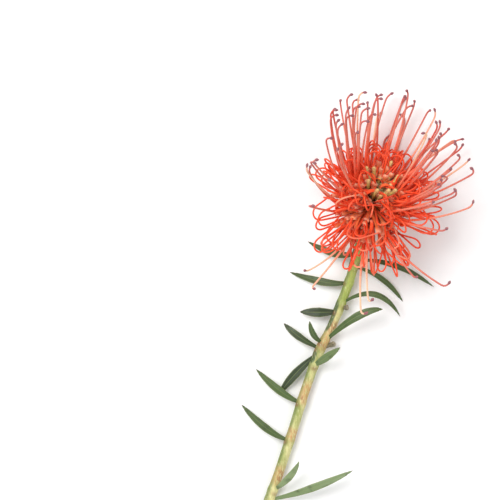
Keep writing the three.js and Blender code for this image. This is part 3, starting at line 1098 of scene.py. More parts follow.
@dataclass
class Strand:
    """A strand that leaves the receptacle and turns as it goes, inwards or as far round as it is rolled."""

    up: float
    out: float
    round_: float
    opening: float = 0.0
    length: float = 0.0
    bend: float = 0.0
    turn: float = 0.0
    turn_from: float = 0.0
    turn_to: float = 1.0
    roll: float = 0.0
    sway: float = 0.0

    @property
    def across(self) -> np.ndarray:
        """The direction round the head, where the strand leaves it."""
        return HEAD.sideways(self.round_)

    @property
    def outward(self) -> np.ndarray:
        """The direction straight out from the axis, where the strand leaves it."""
        return HEAD.outward(self.round_)

    def points(self, shares: np.ndarray, lowest: float) -> np.ndarray:
        """Places along the strand.

        Args:
            shares: how far along each wanted place is, from 0 to 1.
            lowest: half the thickness of the strand.

        Returns:
            One place for each share.
        """
        heading = HEAD.axis * math.cos(self.opening) + self.outward * math.sin(self.opening)
        inward = HEAD.axis * math.sin(self.opening) - self.outward * math.cos(self.opening)
        turning = inward * math.cos(self.roll) + self.across * math.sin(self.roll)
        share = np.linspace(0, 1, STRAND_STEPS + 1)[:, None]
        turned = self.bend * share + self.turn * smooth_step(self.turn_from, self.turn_to, share)
        swaying = self.across * self.sway * share
        direction = unit(heading * np.cos(turned) + turning * np.sin(turned) + swaying)
        moved = np.cumsum(direction[:-1], axis=0) * (self.length / STRAND_STEPS)
        fine = HEAD.point(self.up, self.out, self.round_) + np.vstack([np.zeros(3), moved])
        placed = np.stack([np.interp(shares, share[:, 0], fine[:, axis]) for axis in range(3)], axis=-1)
        return laid_on(placed, lowest)


@dataclass
class Floret:
    """One floret, worked out from its number on the spiral. Number 0 is the oldest."""

    index: int
    stage: Stage
    youth: float
    near: float
    style: Strand

    @classmethod
    def numbered(cls, index: int) -> "Floret":
        """Works out a floret.

        Args:
            index: its number on the spiral.

        Returns:
            The floret.
        """
        share = (index + 0.5) / SIZES.florets
        left = 1 - share
        age = max(0.0, 1 - share / SIZES.open_share)
        youth = max(0.0, (share - SIZES.bud_share) / (1 - SIZES.bud_share))
        growth = 1 - max(0.0, (share - SIZES.open_share) / (SIZES.bud_share - SIZES.open_share))
        round_ = index * GOLDEN_ANGLE + SIZES.round_spread * spread(index, Draw.ROUND)
        near = ((1 - math.cos(round_)) / 2) ** 3
        under = ((1 + math.cos(round_)) / 2) ** 2
        flank = math.sin(round_) ** 2
        late = scatter(index, Draw.LATE) <= LOOP.late + LOOP.late_near_side * near**LOOP.late_width
        stage = Stage.BUD if youth > 0 else Stage.OPEN if age > 0 and not late else Stage.LOOP
        strand = Strand(
            up=SIZES.bare + (SIZES.height - SIZES.bare) * (1 - left ** (2 / 3)),
            out=SIZES.radius * left ** (1 / 3),
            round_=PARTING.pushed(round_),
            sway=SIZES.sway * spread(index, Draw.SWAY),
        )
        if stage is Stage.OPEN:
            droop = OPEN.with_age * age + OPEN.near_side * near * age**0.5
            droop += OPEN.under_side * under * age**3
            loose = OPEN.loose * spread(index, Draw.OPENING) - OPEN.flank * flank
            bend = OPEN.bend + OPEN.bend_with_age * age + OPEN.loose_bend * spread(index, Draw.BEND)
            strand.opening = math.radians(OPEN.opening + droop + loose)
            strand.length = SIZES.style_length * (OPEN.reach + OPEN.loose_reach * spread(index, Draw.REACH))
            strand.bend = math.radians(bend)
            strand.turn = math.radians(OPEN.hook + OPEN.loose_hook * spread(index, Draw.TURN))
            strand.turn_from = OPEN.hook_from
            strand.roll = OPEN.roll * spread(index, Draw.ROLL)
        elif stage is Stage.LOOP:
            droop = LOOP.with_growth * growth + LOOP.with_age * age + LOOP.near_side * near * growth
            reach = LOOP.shortest + LOOP.growth * growth + LOOP.loose_reach * spread(index, Draw.REACH)
            strand.opening = math.radians(LOOP.opening + droop + LOOP.loose * spread(index, Draw.OPENING))
            strand.length = SIZES.style_length * reach
            strand.turn = math.radians(LOOP.turn + LOOP.loose_turn * spread(index, Draw.TURN))
            strand.turn_from = LOOP.turn_from + LOOP.later * growth
            strand.turn_to = LOOP.turn_to - LOOP.sooner * growth
            strand.roll = LOOP.roll * spread(index, Draw.ROLL)
        else:
            loose = CLOSED.loose * spread(index, Draw.OPENING)
            strand.opening = math.radians(CLOSED.opening - CLOSED.upright * youth + loose)
            strand.length = SIZES.bud_least + SIZES.bud_length * (1 - youth) ** SIZES.bud_shorter
            strand.bend = math.radians(CLOSED.bend)
        return cls(index, stage, youth, near, strand)

    @property
    def root(self) -> np.ndarray:
        """Where the floret starts, inside the receptacle."""
        depth = SIZES.root_depth
        up = self.style.up - depth * math.cos(self.style.opening)
        out = max(self.style.out - depth * math.sin(self.style.opening), SIZES.root_out)
        return HEAD.point(up, out, self.style.round_)

    def rooted(self, points: np.ndarray) -> np.ndarray:
        """The points with the floret's root before them."""
        return np.vstack([self.root, points])

    @property
    def tint(self) -> float:
        """The floret's own shade, from 0 to 1. The open ones that hang on the near side are the palest."""
        own = scatter(self.index, Draw.STYLE_TINT)
        return own + (1 - own) * (self.near if self.stage is Stage.OPEN else 0)


@dataclass
class OpenFlorets:
    """Open florets: a long free style with its pin head, and four lobes rolled back below it."""

    florets: list[Floret]
    style_sides: int = 8
    style_rings: int = 44
    foot_radius: float = 0.85
    neck_radius: float = 0.56
    presenter_length: float = 2.8
    presenter_radius: float = 0.98
    lobe_width: float = 1.05
    lobe_thickness: float = 0.3
    lobe_rings: int = 30
    lobe_sides: int = 6
    lobe_first: float = 0.05
    limb_width: float = 1.0
    limb_thickness: float = 0.55
    lobe_end: tuple[float, float] = (0.3, 0.2)
    hairy_from: int = 12
    hair_share: float = 0.3
    hair_length: float = 0.9
    hair_lean: float = 0.3
    pin_profile: tuple[float, ...] = (0.5, 0.62, 0.85, 1.0, 1.0, 0.86, 0.6, 0.28)
    pin_least: float = 0.92
    pin_range: float = 0.12
    pin_flatness: float = 0.86

    def styles(self) -> MeshPile:
        """The long free styles."""
        pile = MeshPile()
        for floret in self.florets:
            ends = 1 - self.presenter_length / floret.style.length
            shares = np.linspace(0, ends, self.style_rings)
            points = floret.rooted(floret.style.points(shares, SIZES.style_radius))
            thin = smooth_step(0, 0.9, np.linspace(0, 1, self.style_rings + 1))
            radii = self.foot_radius + (self.neck_radius - self.foot_radius) * thin
            rings = swept(points, radii, radii, self.style_sides, HEAD.axis)
            pile.add_rings(rings, along=np.concatenate([[0], shares]), tint=floret.tint)
        return pile

    def presenters(self) -> MeshPile:
        """The pin heads, a little flattened on one side."""
        pile = MeshPile()
        profile = self.presenter_radius * np.array(self.pin_profile)
        for floret in self.florets:
            ends = 1 - self.presenter_length / floret.style.length
            shares = np.linspace(ends, 1, len(profile))
            points = floret.style.points(shares, SIZES.style_radius)
            radii = profile * (self.pin_least + self.pin_range * scatter(floret.index, Draw.PIN_SIZE))
            radii[0] = self.neck_radius
            rings = swept(points, radii, self.pin_flatness * radii, self.style_sides, HEAD.axis)
            pile.add_rings(rings, along=np.linspace(0, 1, len(profile)))
        return pile

    @staticmethod
    def lobe_strand(floret: Floret, lobe: int) -> Strand:
        """The middle line of one lobe. The last lobe is free: it rolls back the other way.

        Args:
            floret: the floret that it belongs to.
            lobe: its number.

        Returns:
            The strand that it follows.
        """
        draw = Draw.FIRST_LOBE + LOBE_DRAWS * lobe
        free = lobe == LOBE.count - 1
        share = LOBE.free_turn if free else 1
        roll = math.pi if free else LOBE.roll * (lobe - 1)
        return Strand(
            up=floret.style.up,
            out=floret.style.out,
            round_=floret.style.round_,
            opening=floret.style.opening + LOBE.opening + LOBE.loose_opening * spread(floret.index, draw),
            length=LOBE.length * (LOBE.longest - LOBE.loose_length * scatter(floret.index, draw + 1)),
            bend=LOBE.bend,
            turn=LOBE.turn * share * (LOBE.least_turn + LOBE.loose_turn * scatter(floret.index, draw + 2)),
            turn_from=LOBE.turn_from + LOBE.loose_turn_from * spread(floret.index, draw + 3),
            roll=roll + LOBE.loose_roll * spread(floret.index, draw + 4),
            sway=LOBE.sway * spread(floret.index, Draw.LOBE_SWAY),
        )

    def lobes(self, hairs: MeshPile, dice: np.random.Generator) -> MeshPile:
        """The rolled lobes of the perianths.

        Args:
            hairs: the pile that takes their hairs.
            dice: the seeded generator.

        Returns:
            The lobes.
        """
        pile = MeshPile()
        shares = np.linspace(self.lobe_first, 1, self.lobe_rings)
        limb = limb_swelling(shares, 0.78, 0.9, 0.94, 1.03)
        widths = self.lobe_width + (self.limb_width - self.lobe_width) * limb
        heights = self.lobe_thickness + (self.limb_thickness - self.lobe_thickness) * limb
        widths[-1], heights[-1] = self.lobe_end
        hairy = np.arange(self.hairy_from, self.lobe_rings - 1)
        for floret in self.florets:
            for lobe in range(LOBE.count):
                strand = self.lobe_strand(floret, lobe)
                points = strand.points(shares, SIZES.limb_radius)
                hinge = strand.across * math.cos(strand.roll) - strand.outward * math.sin(strand.roll)
                tangents = tangents_of(points)
                across = carried_along(tangents, hinge)
                over = np.cross(tangents, across)
                place = 2 * math.pi * (lobe + 0.5) / LOBE.count
                points = points + LOBE.apart * (math.cos(place) * across + math.sin(place) * over)
                rings = swept(points, widths, heights, self.lobe_sides, hinge)
                tint = scatter(floret.index, Draw.FIRST_LOBE + LOBE_DRAWS * lobe + 2)
                pile.add_rings(rings, along=shares, tint=tint)
                grown = hairs_on(rings, hairy, self.hair_share, self.hair_length, self.hair_lean, dice)
                add_down(hairs, *grown, dice)
        return pile


@dataclass
class LoopFlorets:
    """Florets whose style still bows out in a loop, its tip held in the woolly limb of the perianth."""

    florets: list[Floret]
    style_sides: int = 8
    style_rings: int = 52
    style_radius: float = 0.54
    style_foot: float = 1.15
    style_taper: float = 0.25
    shown_length: float = 0.75
    tube_sides: int = 8
    tube_rings: int = 18
    tube_radius: float = 0.78
    limb_swell: float = 0.6
    end_radius: float = 0.3
    breadth: float = 1.35
    depth: float = 0.62
    hold: float = 0.97
    past_limb: float = 0.6
    hairy_from: int = 11
    hair_share: float = 1.6
    hair_length: float = 1.0
    hair_lean: float = 0.4

    def styles(self) -> MeshPile:
        """The bowed styles."""
        pile = MeshPile()
        shares = np.linspace(0, 1, self.style_rings)
        thinner = self.style_taper * np.linspace(0, 1, self.style_rings + 1)
        radii = self.style_radius * (self.style_foot - thinner)
        along = np.concatenate([[0], self.shown_length * shares])
        for floret in self.florets:
            points = floret.rooted(floret.style.points(shares, SIZES.style_radius))
            rings = swept(points, radii, radii, self.style_sides, HEAD.axis)
            pile.add_rings(rings, along=along, tint=floret.tint)
        return pile

    def tube_line(self, floret: Floret) -> np.ndarray:
        """The line of a perianth from its root, close to the axis, out to the limb that holds the tip.

        Args:
            floret: the floret that it belongs to.

        Returns:
            Points along the line.
        """
        before, limb = floret.style.points(np.array([self.hold, 1]), SIZES.limb_radius)
        root = floret.root
        inward = root + 0.55 * (limb - root) + 0.6 * HEAD.axis
        outer = root + 0.88 * (limb - root)
        end = limb + self.past_limb * (limb - before)
        return catmull_rom(np.array([root, inward, outer, limb, end]), CURVE_STEPS)

    def perianths(self, hairs: MeshPile, dice: np.random.Generator) -> MeshPile:
        """The perianths, from the receptacle to the limbs that hold the tips.

        Args:
            hairs: the pile that takes their hairs.
            dice: the seeded generator.

        Returns:
            The perianths.
        """
        pile = MeshPile()
        shares = np.linspace(0, 1, self.tube_rings)
        limb = limb_swelling(shares, 0.76, 0.86, 0.93, 1.04)
        radii = SIZES.perianth_radius * (self.tube_radius + self.limb_swell * limb)
        radii[-1] = self.end_radius
        hairy = np.arange(self.hairy_from, self.tube_rings - 1)
        for floret in self.florets:
            points = evenly(self.tube_line(floret), shares)
            rings = swept(points, self.breadth * radii, self.depth * radii, self.tube_sides, HEAD.side)
            pile.add_rings(rings, along=0.3 + 0.7 * shares, tint=scatter(floret.index, Draw.HELD_TINT))
            grown = hairs_on(rings, hairy, self.hair_share, self.hair_length, self.hair_lean, dice)
            add_down(hairs, *grown, dice)
        return pile


@dataclass
class CentreBuds:
    """Closed florets that stand round the hollow in the middle of the head."""

    florets: list[Floret]
    sides: int = 10
    rings: int = 26
    first: float = 0.02
    root_radius: float = 0.8
    tube_radius: float = 0.8
    belly: float = 0.14
    limb_swell: float = 0.3
    end_radius: float = 0.35
    flatness: float = 0.9
    hairy_from: int = 18
    hair_share: float = 1.6
    hair_length: float = 0.9
    hair_lean: float = 0.5

    def tubes(self, hairs: MeshPile, dice: np.random.Generator) -> MeshPile:
        """The closed tubes.

        Args:
            hairs: the pile that takes their hairs.
            dice: the seeded generator.

        Returns:
            The tubes.
        """
        pile = MeshPile()
        shares = np.linspace(self.first, 1, self.rings)
        limb = limb_swelling(shares, 0.74, 0.88, 0.92, 1.04)
        tube = self.tube_radius + self.belly * np.sin(3 * shares)
        radii = SIZES.bud_radius * tube + self.limb_swell * limb
        radii[-1] = self.end_radius
        radii = np.concatenate([[self.root_radius], radii])
        hairy = np.arange(self.hairy_from, self.rings)
        for floret in self.florets:
            points = floret.rooted(floret.style.points(shares, SIZES.bud_limb_radius))
            rings = swept(points, radii, self.flatness * radii, self.sides, HEAD.side)
            # The youth sets how much painted shade a bud gets in its finish.
            pile.add_rings(rings, along=np.concatenate([[0], shares]), tint=floret.youth)
            roots, tips = hairs_on(rings, hairy, self.hair_share, self.hair_length, self.hair_lean, dice)
            hairs.add_hairs(roots, tips, HAIR_RADIUS, tint=dice.random(len(roots)))
        return pile


@dataclass
class Receptacle:
    """The woolly cone that the florets grow from, covered with low swellings."""

    sides: int = 40
    rings: int = 40
    lowest: float = 0.3
    lump: float = 0.25

    def cone(self) -> MeshPile:
        """The cone. Its swellings stand in a chequered pattern."""
        pile = MeshPile()
        heights = np.linspace(self.lowest, SIZES.height, self.rings)
        rise = np.clip((heights - SIZES.bare) / (SIZES.height - SIZES.bare), 0, 1)
        radii = np.maximum(SIZES.radius * np.sqrt(1 - rise), SIZES.tip_radius)
        round_ = np.linspace(0, -2 * math.pi, self.sides, endpoint=False)
        rings = []
        for row, (up, out) in enumerate(zip(heights, radii)):
            lumps = self.lump * np.cos((np.arange(self.sides) + row) * math.pi)
            rings.append(HEAD.point(up, out - self.lump + lumps, round_))
        pile.add_rings(np.array(rings), along=np.linspace(0, 1, self.rings))
        return pile


@dataclass
class Involucre:
    """The cup under the head, covered with overlapping pointed woolly bracts."""

    rows: int = 4
    per_row: int = 13
    length: float = 5.2
    least_length: float = 0.92
    loose_length: float = 0.12
    width: float = 4.0
    thickness: float = 0.5
    thin_share: float = 0.3
    loose_round: float = 0.05
    lowest: float = -4.6
    row_rise: float = 1.0
    rises: Triple = (0.0, 0.2, 0.66)
    reaches: Triple = (4.0, 7.3, 8.9)
    row_reaches: Triple = (0.7, 0.45, 0.3)
    stations: int = 12
    bract_sides: int = 10
    outline: tuple[tuple[float, float], ...] = (
        (0.0, 0.8),
        (0.2, 0.95),
        (0.45, 1.0),
        (0.75, 0.68),
        (0.92, 0.3),
        (1.0, 0.05),
    )
    sides: int = 48
    cup: tuple[tuple[float, float], ...] = ((-4.8, 4.4), (-3.2, 6.0), (-1.6, 7.3), (0.0, 8.1), (0.4, 7.6))
    cup_along: float = 0.4
    hairy_from: int = 3
    hair_share: float = 0.7
    hair_length: float = 0.7
    hair_lean: float = 0.8
    hair_radius: float = 0.04

    def shell(self) -> MeshPile:
        """The cup itself."""
        pile = MeshPile()
        rings = np.array([HEAD.ring(up, out, self.sides) for up, out in self.cup])
        pile.add_rings(rings, along=self.cup_along)
        return pile

    def midline(self, row: int, number: int, round_: float, shares: np.ndarray) -> np.ndarray:
        """The middle line of one bract.

        Args:
            row: the number of its row, from below.
            number: its own number.
            round_: the angle round the axis at which it grows.
            shares: how far along it each wanted place is.

        Returns:
            One place for each share.
        """
        up = self.lowest + row * self.row_rise
        grown = self.length * (self.least_length + self.loose_length * scatter(number, Draw.BRACT_LENGTH))
        base, bend, tip = (
            HEAD.point(up + rise * grown, reach + row * further, round_)
            for rise, reach, further in zip(self.rises, self.reaches, self.row_reaches)
        )
        return bezier(base, bend, tip, shares)

    def bracts(self, hairs: MeshPile, dice: np.random.Generator) -> MeshPile:
        """The bracts.

        Args:
            hairs: the pile that takes the hairs of their edges.
            dice: the seeded generator.

        Returns:
            The cup with its bracts.
        """
        pile = self.shell()
        shares = np.linspace(0, 1, self.stations)
        outline = np.interp(shares, *zip(*self.outline))
        widths = 0.5 * self.width * outline
        heights = 0.5 * self.thickness * (self.thin_share + (1 - self.thin_share) * outline)
        hairy = np.arange(self.hairy_from, self.stations)
        for number in range(self.rows * self.per_row):
            row, place = divmod(number, self.per_row)
            loose = self.loose_round * spread(number, Draw.BRACT_ROUND)
            round_ = 2 * math.pi * (place + 0.5 * row) / self.per_row + loose
            points = self.midline(row, number, round_, shares)
            rings = swept(points, widths, heights, self.bract_sides, HEAD.sideways(round_))
            pile.add_rings(rings, along=0.35 + 0.65 * shares)
            roots, tips = hairs_on(rings, hairy, self.hair_share, self.hair_length, self.hair_lean, dice)
            hairs.add_hairs(roots, tips, self.hair_radius, tint=dice.random(len(roots)))
        return pile


# ---- Stem and leaves ----


@dataclass(frozen=True)
class LeafPlan:
    """One leaf: where it leaves the stem, the bend and tip of its midrib, its width, roll and shade."""

    at: float
    bend: Triple
    tip: Triple
    width: float
    roll: tuple[float, float]
    tint: float


LEAF_PLANS = (
    LeafPlan(0.135, (18.6, -14.9, 13), (42.8, -33.0, 4), 3.8, (10, -25), 0.28),
    LeafPlan(0.155, (12.0, -24.0, 6), (24.0, -42.2, 0.6), 3.6, (10, 15), 0.3),
    LeafPlan(0.275, (7.5, -27.5, 18), (21.8, -51.2, 8), 3.8, (15, -25), 0.42),
    LeafPlan(0.405, (-4.5, -46.0, 18), (10.6, -46.6, 15), 5.2, (10, -15), 0.5),
    LeafPlan(0.300, (-26.6, -48.9, 10), (-39.9, -48.5, 4), 6.0, (-20, 20), 0.0),
    LeafPlan(0.405, (-33.1, -64.4, 14), (-34.2, -53.9, 14), 3.8, (0, 0), 0.4),
    LeafPlan(0.425, (-41.8, -64.6, 7), (-49.8, -55.6, 3), 4.6, (0, 0), 0.12),
    LeafPlan(0.440, (-42.9, -84.5, 7), (-53.1, -100.1, 2), 5.6, (0, 0), 0.05),
    LeafPlan(0.480, (-26.7, -78.3, 14), (-15.6, -69.9, 18), 5.0, (0, 0), 0.62),
    LeafPlan(0.910, (-33.8, -159.3, 10), (-7.6, -145.8, 13), 4.8, (10, -10), 0.8),
    LeafPlan(0.880, (-46.2, -152.1, 14), (-40.8, -139.7, 18), 4.6, (0, 30), 0.85),
    LeafPlan(0.110, (-15.0, -17.0, 9), (-35.0, -5.0, 5), 4.8, (-10, 20), 0.3),
    LeafPlan(0.205, (-23.0, -33.0, 7), (-46.0, -24.0, 0.6), 5.0, (0, 25), 0.25),
    LeafPlan(0.600, (-52.0, -100.0, 8), (-67.0, -84.0, 3), 5.0, (0, 20), 0.45),
    LeafPlan(0.720, (-60.0, -124.0, 9), (-76.0, -106.0, 3), 4.8, (0, 20), 0.35),
)


@dataclass
class Stem:
    """The stem, from the cup under the head to its slanted cut, with a cushion under each leaf."""

    top: float = 5
    radius: float = 2.9
    cut_radius: float = 3.2
    neck_radius: float = 5.2
    node_swell: float = 0.35
    bud_radius: float = 1.7
    bud_neck: float = 1.1
    buds: tuple[tuple[float, Triple], ...] = (
        (0.29, (-10.0, -45.6, 7.5)),
        (0.425, (-17.9, -67.8, 6.5)),
    )
    bud_flatness: float = 0.9
    bud_sides: int = 18
    bud_rings: int = 26
    bud_scales: float = 0.07
    down_radius: float = 0.035
    tan_patches: tuple[tuple[float, float], ...] = (
        (0.362, 0.03),
        (0.405, 0.022),
        (0.565, 0.035),
        (0.7, 0.02),
        (0.83, 0.03),
    )
    sheaths: tuple[tuple[float, float], ...] = ((0.32, 0.05), (0.455, 0.02), (0.13, 0.03))
    neck_share: float = 0.06
    node_share: float = 0.012
    rib: float = 0.09
    skin: float = 0.12
    scar_below: float = 0.008
    scar_share: float = 0.007
    scar_strength: float = 0.8
    sides: int = 28
    rings: int = 240
    cut_share: float = 0.93
    cut_reaches: tuple[float, ...] = (3.2, 3.2, 2.2, 1.1, 0.3)
    cut_rises: tuple[float, ...] = (-0.25, -0.02, 0.03, -0.02, 0.0)
    line_steps: int = 40
    line: tuple[Triple, ...] = (
        (-9.2, -28.5, 5.4),
        (-19.8, -56.3, 5.2),
        (-28.9, -74.9, 5.1),
        (-36.9, -97.8, 4.7),
        (-44.2, -121.4, 4.2),
        (-52.6, -147.0, 3.7),
        (-59.7, -168.0, 3.4),
        (-63.4, -182.4, 3.3),
    )

    def __post_init__(self) -> None:
        """Works out the curve of the stem."""
        top = HEAD.point(np.array([-self.top, -1.7 * self.top]), 0, 0)
        self.curve = catmull_rom(np.vstack([top, np.array(self.line)]), self.line_steps)

    def at(self, share: float | np.ndarray) -> np.ndarray:
        """Places at shares of the stem's length."""
        return evenly(self.curve, np.atleast_1d(share))

    def radii(self, shares: np.ndarray) -> np.ndarray:
        """The stem's radius, widened into the neck and under each leaf.

        Args:
            shares: how far along the stem each wanted place is, from 0 to 1.

        Returns:
            One radius for each share.
        """
        plain = self.radius + (self.cut_radius - self.radius) * shares
        neck = (self.neck_radius - self.radius) * (1 - smooth_step(0, self.neck_share, shares))
        swell = sum(np.exp(-(((shares - plan.at) / self.node_share) ** 2)) for plan in LEAF_PLANS)
        return plain + neck + self.node_swell * np.minimum(swell, 1)

    def bark(self) -> MeshPile:
        """The bark, ribbed along its length and scarred under each leaf."""
        pile = MeshPile()
        shares = np.linspace(0, 1, self.rings)
        points = self.at(shares)
        radii = self.radii(shares)
        rings = swept(points, radii, radii, self.sides, HEAD.side)
        outward = unit(rings - points[:, None])
        angle = np.linspace(0, 2 * math.pi, self.sides, endpoint=False)
        waves = np.cos(31 * shares[:, None] + 2 * angle[None])
        ribs = self.rib * np.sin(5 * angle[None] + 9 * shares[:, None]) * waves
        rings = rings + outward * (ribs - self.skin)[..., None]
        scar = np.zeros(rings.shape[:2])
        for plan in LEAF_PLANS:
            foot = self.at(plan.at)[0]
            towards = unit(np.array(plan.bend) - foot)
            below = np.exp(-(((shares - plan.at - self.scar_below) / self.scar_share) ** 2))
            facing = np.clip(outward @ towards, 0, 1) ** 2
            scar = np.maximum(scar, below[:, None] * facing)
        # flank: how far each point faces the stem's left side, where the finish paints olive shade and
        # keeps the tan patches fainter.
        flank = np.clip(outward @ -HEAD.side, 0, 1)
        pile.add_rings(
            rings,
            along=shares,
            scar=self.scar_strength * scar,
            flank=flank,
            tan=self.patched(shares, self.tan_patches)[:, None] * (1 - 0.6 * flank),
            sheath=self.patched(shares, self.sheaths)[:, None] * (0.15 + 1.2 * flank),
        )
        return pile

    @staticmethod
    def patched(shares: np.ndarray, patches: Sequence[tuple[float, float]]) -> np.ndarray:
        """How strongly patches show at shares of the length.

        Args:
            shares: the shares.
            patches: the middle of each patch and its half length, as shares too.

        Returns:
            A value from 0 to 1 for each share.
        """
        return np.minimum(sum(np.exp(-(((shares - middle) / half) ** 4)) for middle, half in patches), 1)

    def axil_buds(self, hairs: MeshPile, dice: np.random.Generator) -> MeshPile:
        """The small blunt buds where leaves meet the stem.

        Args:
            hairs: the pile that takes their down.
            dice: the seeded generator.

        Returns:
            The buds.
        """
        pile = MeshPile()
        shares = np.linspace(0.3, 1, self.bud_rings)
        swell = smooth_step(0.5, 0.74, shares)
        scales = 1 + self.bud_scales * np.sin(30 * shares)
        blunt = np.sqrt(np.clip(1 - smooth_step(0.84, 1.04, shares) ** 2, 0.08, 1))
        radii = (self.bud_neck + (self.bud_radius - self.bud_neck) * swell) * scales * blunt
        for at, tip in self.buds:
            base = self.at(at)[0]
            points = base + (np.array(tip) - base) * shares[:, None]
            rings = swept(points, radii, self.bud_flatness * radii, self.bud_sides, HEAD.side)
            pile.add_rings(rings, along=shares)
            roots, tips = hairs_on(rings, np.arange(10, self.bud_rings - 1), 0.8, 0.5, 0.6, dice)
            hairs.add_hairs(roots, tips, self.down_radius, tint=dice.random(len(roots)))
        return pile

    def cut(self) -> MeshPile:
        """A thin disc of wood on the cut."""
        pile = MeshPile()
        end = self.curve[-1]
        direction = unit(end - self.curve[-4])
        across = unit(np.cross(direction, [0.0, 0.0, 1.0]))
        upright = np.cross(across, direction)
        angle = np.linspace(0, 2 * math.pi, self.sides, endpoint=False)
        spokes = across * np.cos(-angle)[:, None] + upright * np.sin(-angle)[:, None]
        reach = self.cut_share * np.array(self.cut_reaches)
        rings = [end + direction * rise + spokes * out for out, rise in zip(reach, self.cut_rises)]
        pile.add_rings(np.array(rings)[:, ::-1], across=reach / self.cut_radius)
        return pile


@dataclass
class Leaf:
    """A narrow leathery leaf with three red-tipped teeth at its end."""

    number: int
    plan: LeafPlan
    stem: Stem
    thickness: float = 0.7
    thin_share: float = 0.55
    fold: float = 0.16
    wave: float = 0.12
    rib: float = 0.28
    rib_width: float = 0.16
    rib_fading: float = 0.8
    teeth_at: float = 0.925
    teeth_share: float = 0.012
    tooth_strength: float = 0.8
    loose_tint: float = 0.08
    stations: int = 90
    columns: int = 9
    outline: tuple[tuple[float, float], ...] = (
        (0.0, 0.38),
        (0.12, 0.48),
        (0.32, 0.78),
        (0.52, 1.0),
        (0.7, 0.91),
        (0.84, 0.66),
        (0.92, 0.46),
        (0.934, 0.32),
        (0.966, 0.27),
        (0.976, 0.16),
        (1.0, 0.04),
    )

    def blade(self) -> MeshPile:
        """The blade: a thin closed sheet, folded along its midrib and a little waved."""
        pile = MeshPile()
        plan = self.plan
        shares = np.linspace(0, 1, self.stations)
        half = np.interp(shares, *zip(*self.outline))
        points = bezier(self.stem.at(plan.at)[0], plan.bend, plan.tip, shares)
        tangents = tangents_of(points)
        flat = unit(np.cross(np.array([0.0, 0.0, 1.0]), tangents))
        roll = np.radians(plan.roll[0] + (plan.roll[1] - plan.roll[0]) * shares)[:, None]
        across = flat * np.cos(roll) + np.cross(tangents, flat) * np.sin(roll)
        normal = np.cross(tangents, across)
        column = np.linspace(-1, 1, self.columns)
        reach = 0.5 * plan.width * half[:, None] * column[None]
        ripple = np.sin(7 * shares[:, None] + 2.6 * column[None] + self.number) * np.abs(column[None])
        lift = self.fold * np.abs(reach) + self.wave * ripple * half[:, None]
        fullness = self.thin_share + (1 - self.thin_share) * half[:, None]
        thick = 0.5 * self.thickness * np.sqrt(1.05 - column**2)[None] * fullness
        ridge = np.exp(-((column / self.rib_width) ** 2))[None]
        rib = self.rib * ridge * (1 - self.rib_fading * shares[:, None])
        middle = points[:, None] + across[:, None] * reach[..., None]
        upper = middle + normal[:, None] * (lift + thick)[..., None]
        under = middle + normal[:, None] * (lift - thick - rib)[..., None]
        rings = np.concatenate([upper, under[:, ::-1]], axis=1)[:, ::-1]
        face = np.concatenate([np.zeros(self.columns), np.ones(self.columns)])[::-1]
        side = np.concatenate([column, column[::-1]])[::-1]
        by_teeth = np.exp(-(((shares - self.teeth_at) / self.teeth_share) ** 2))
        edge = smooth_step(0.6, 0.95, np.abs(side))
        tooth = np.maximum(edge[None] * by_teeth[:, None], smooth_step(0.965, 1.0, shares)[:, None])
        grid = (self.stations, 2 * self.columns)
        pile.add_rings(
            rings,
            along=shares,
            across=np.broadcast_to(side, grid),
            under=np.broadcast_to(face, grid),
            tooth=self.tooth_strength * tooth,
            tint=min(max(plan.tint + self.loose_tint * spread(self.number, Draw.LEAF_TINT), 0), 1),
        )
        return pile


# ---- Camera, light and floor ----


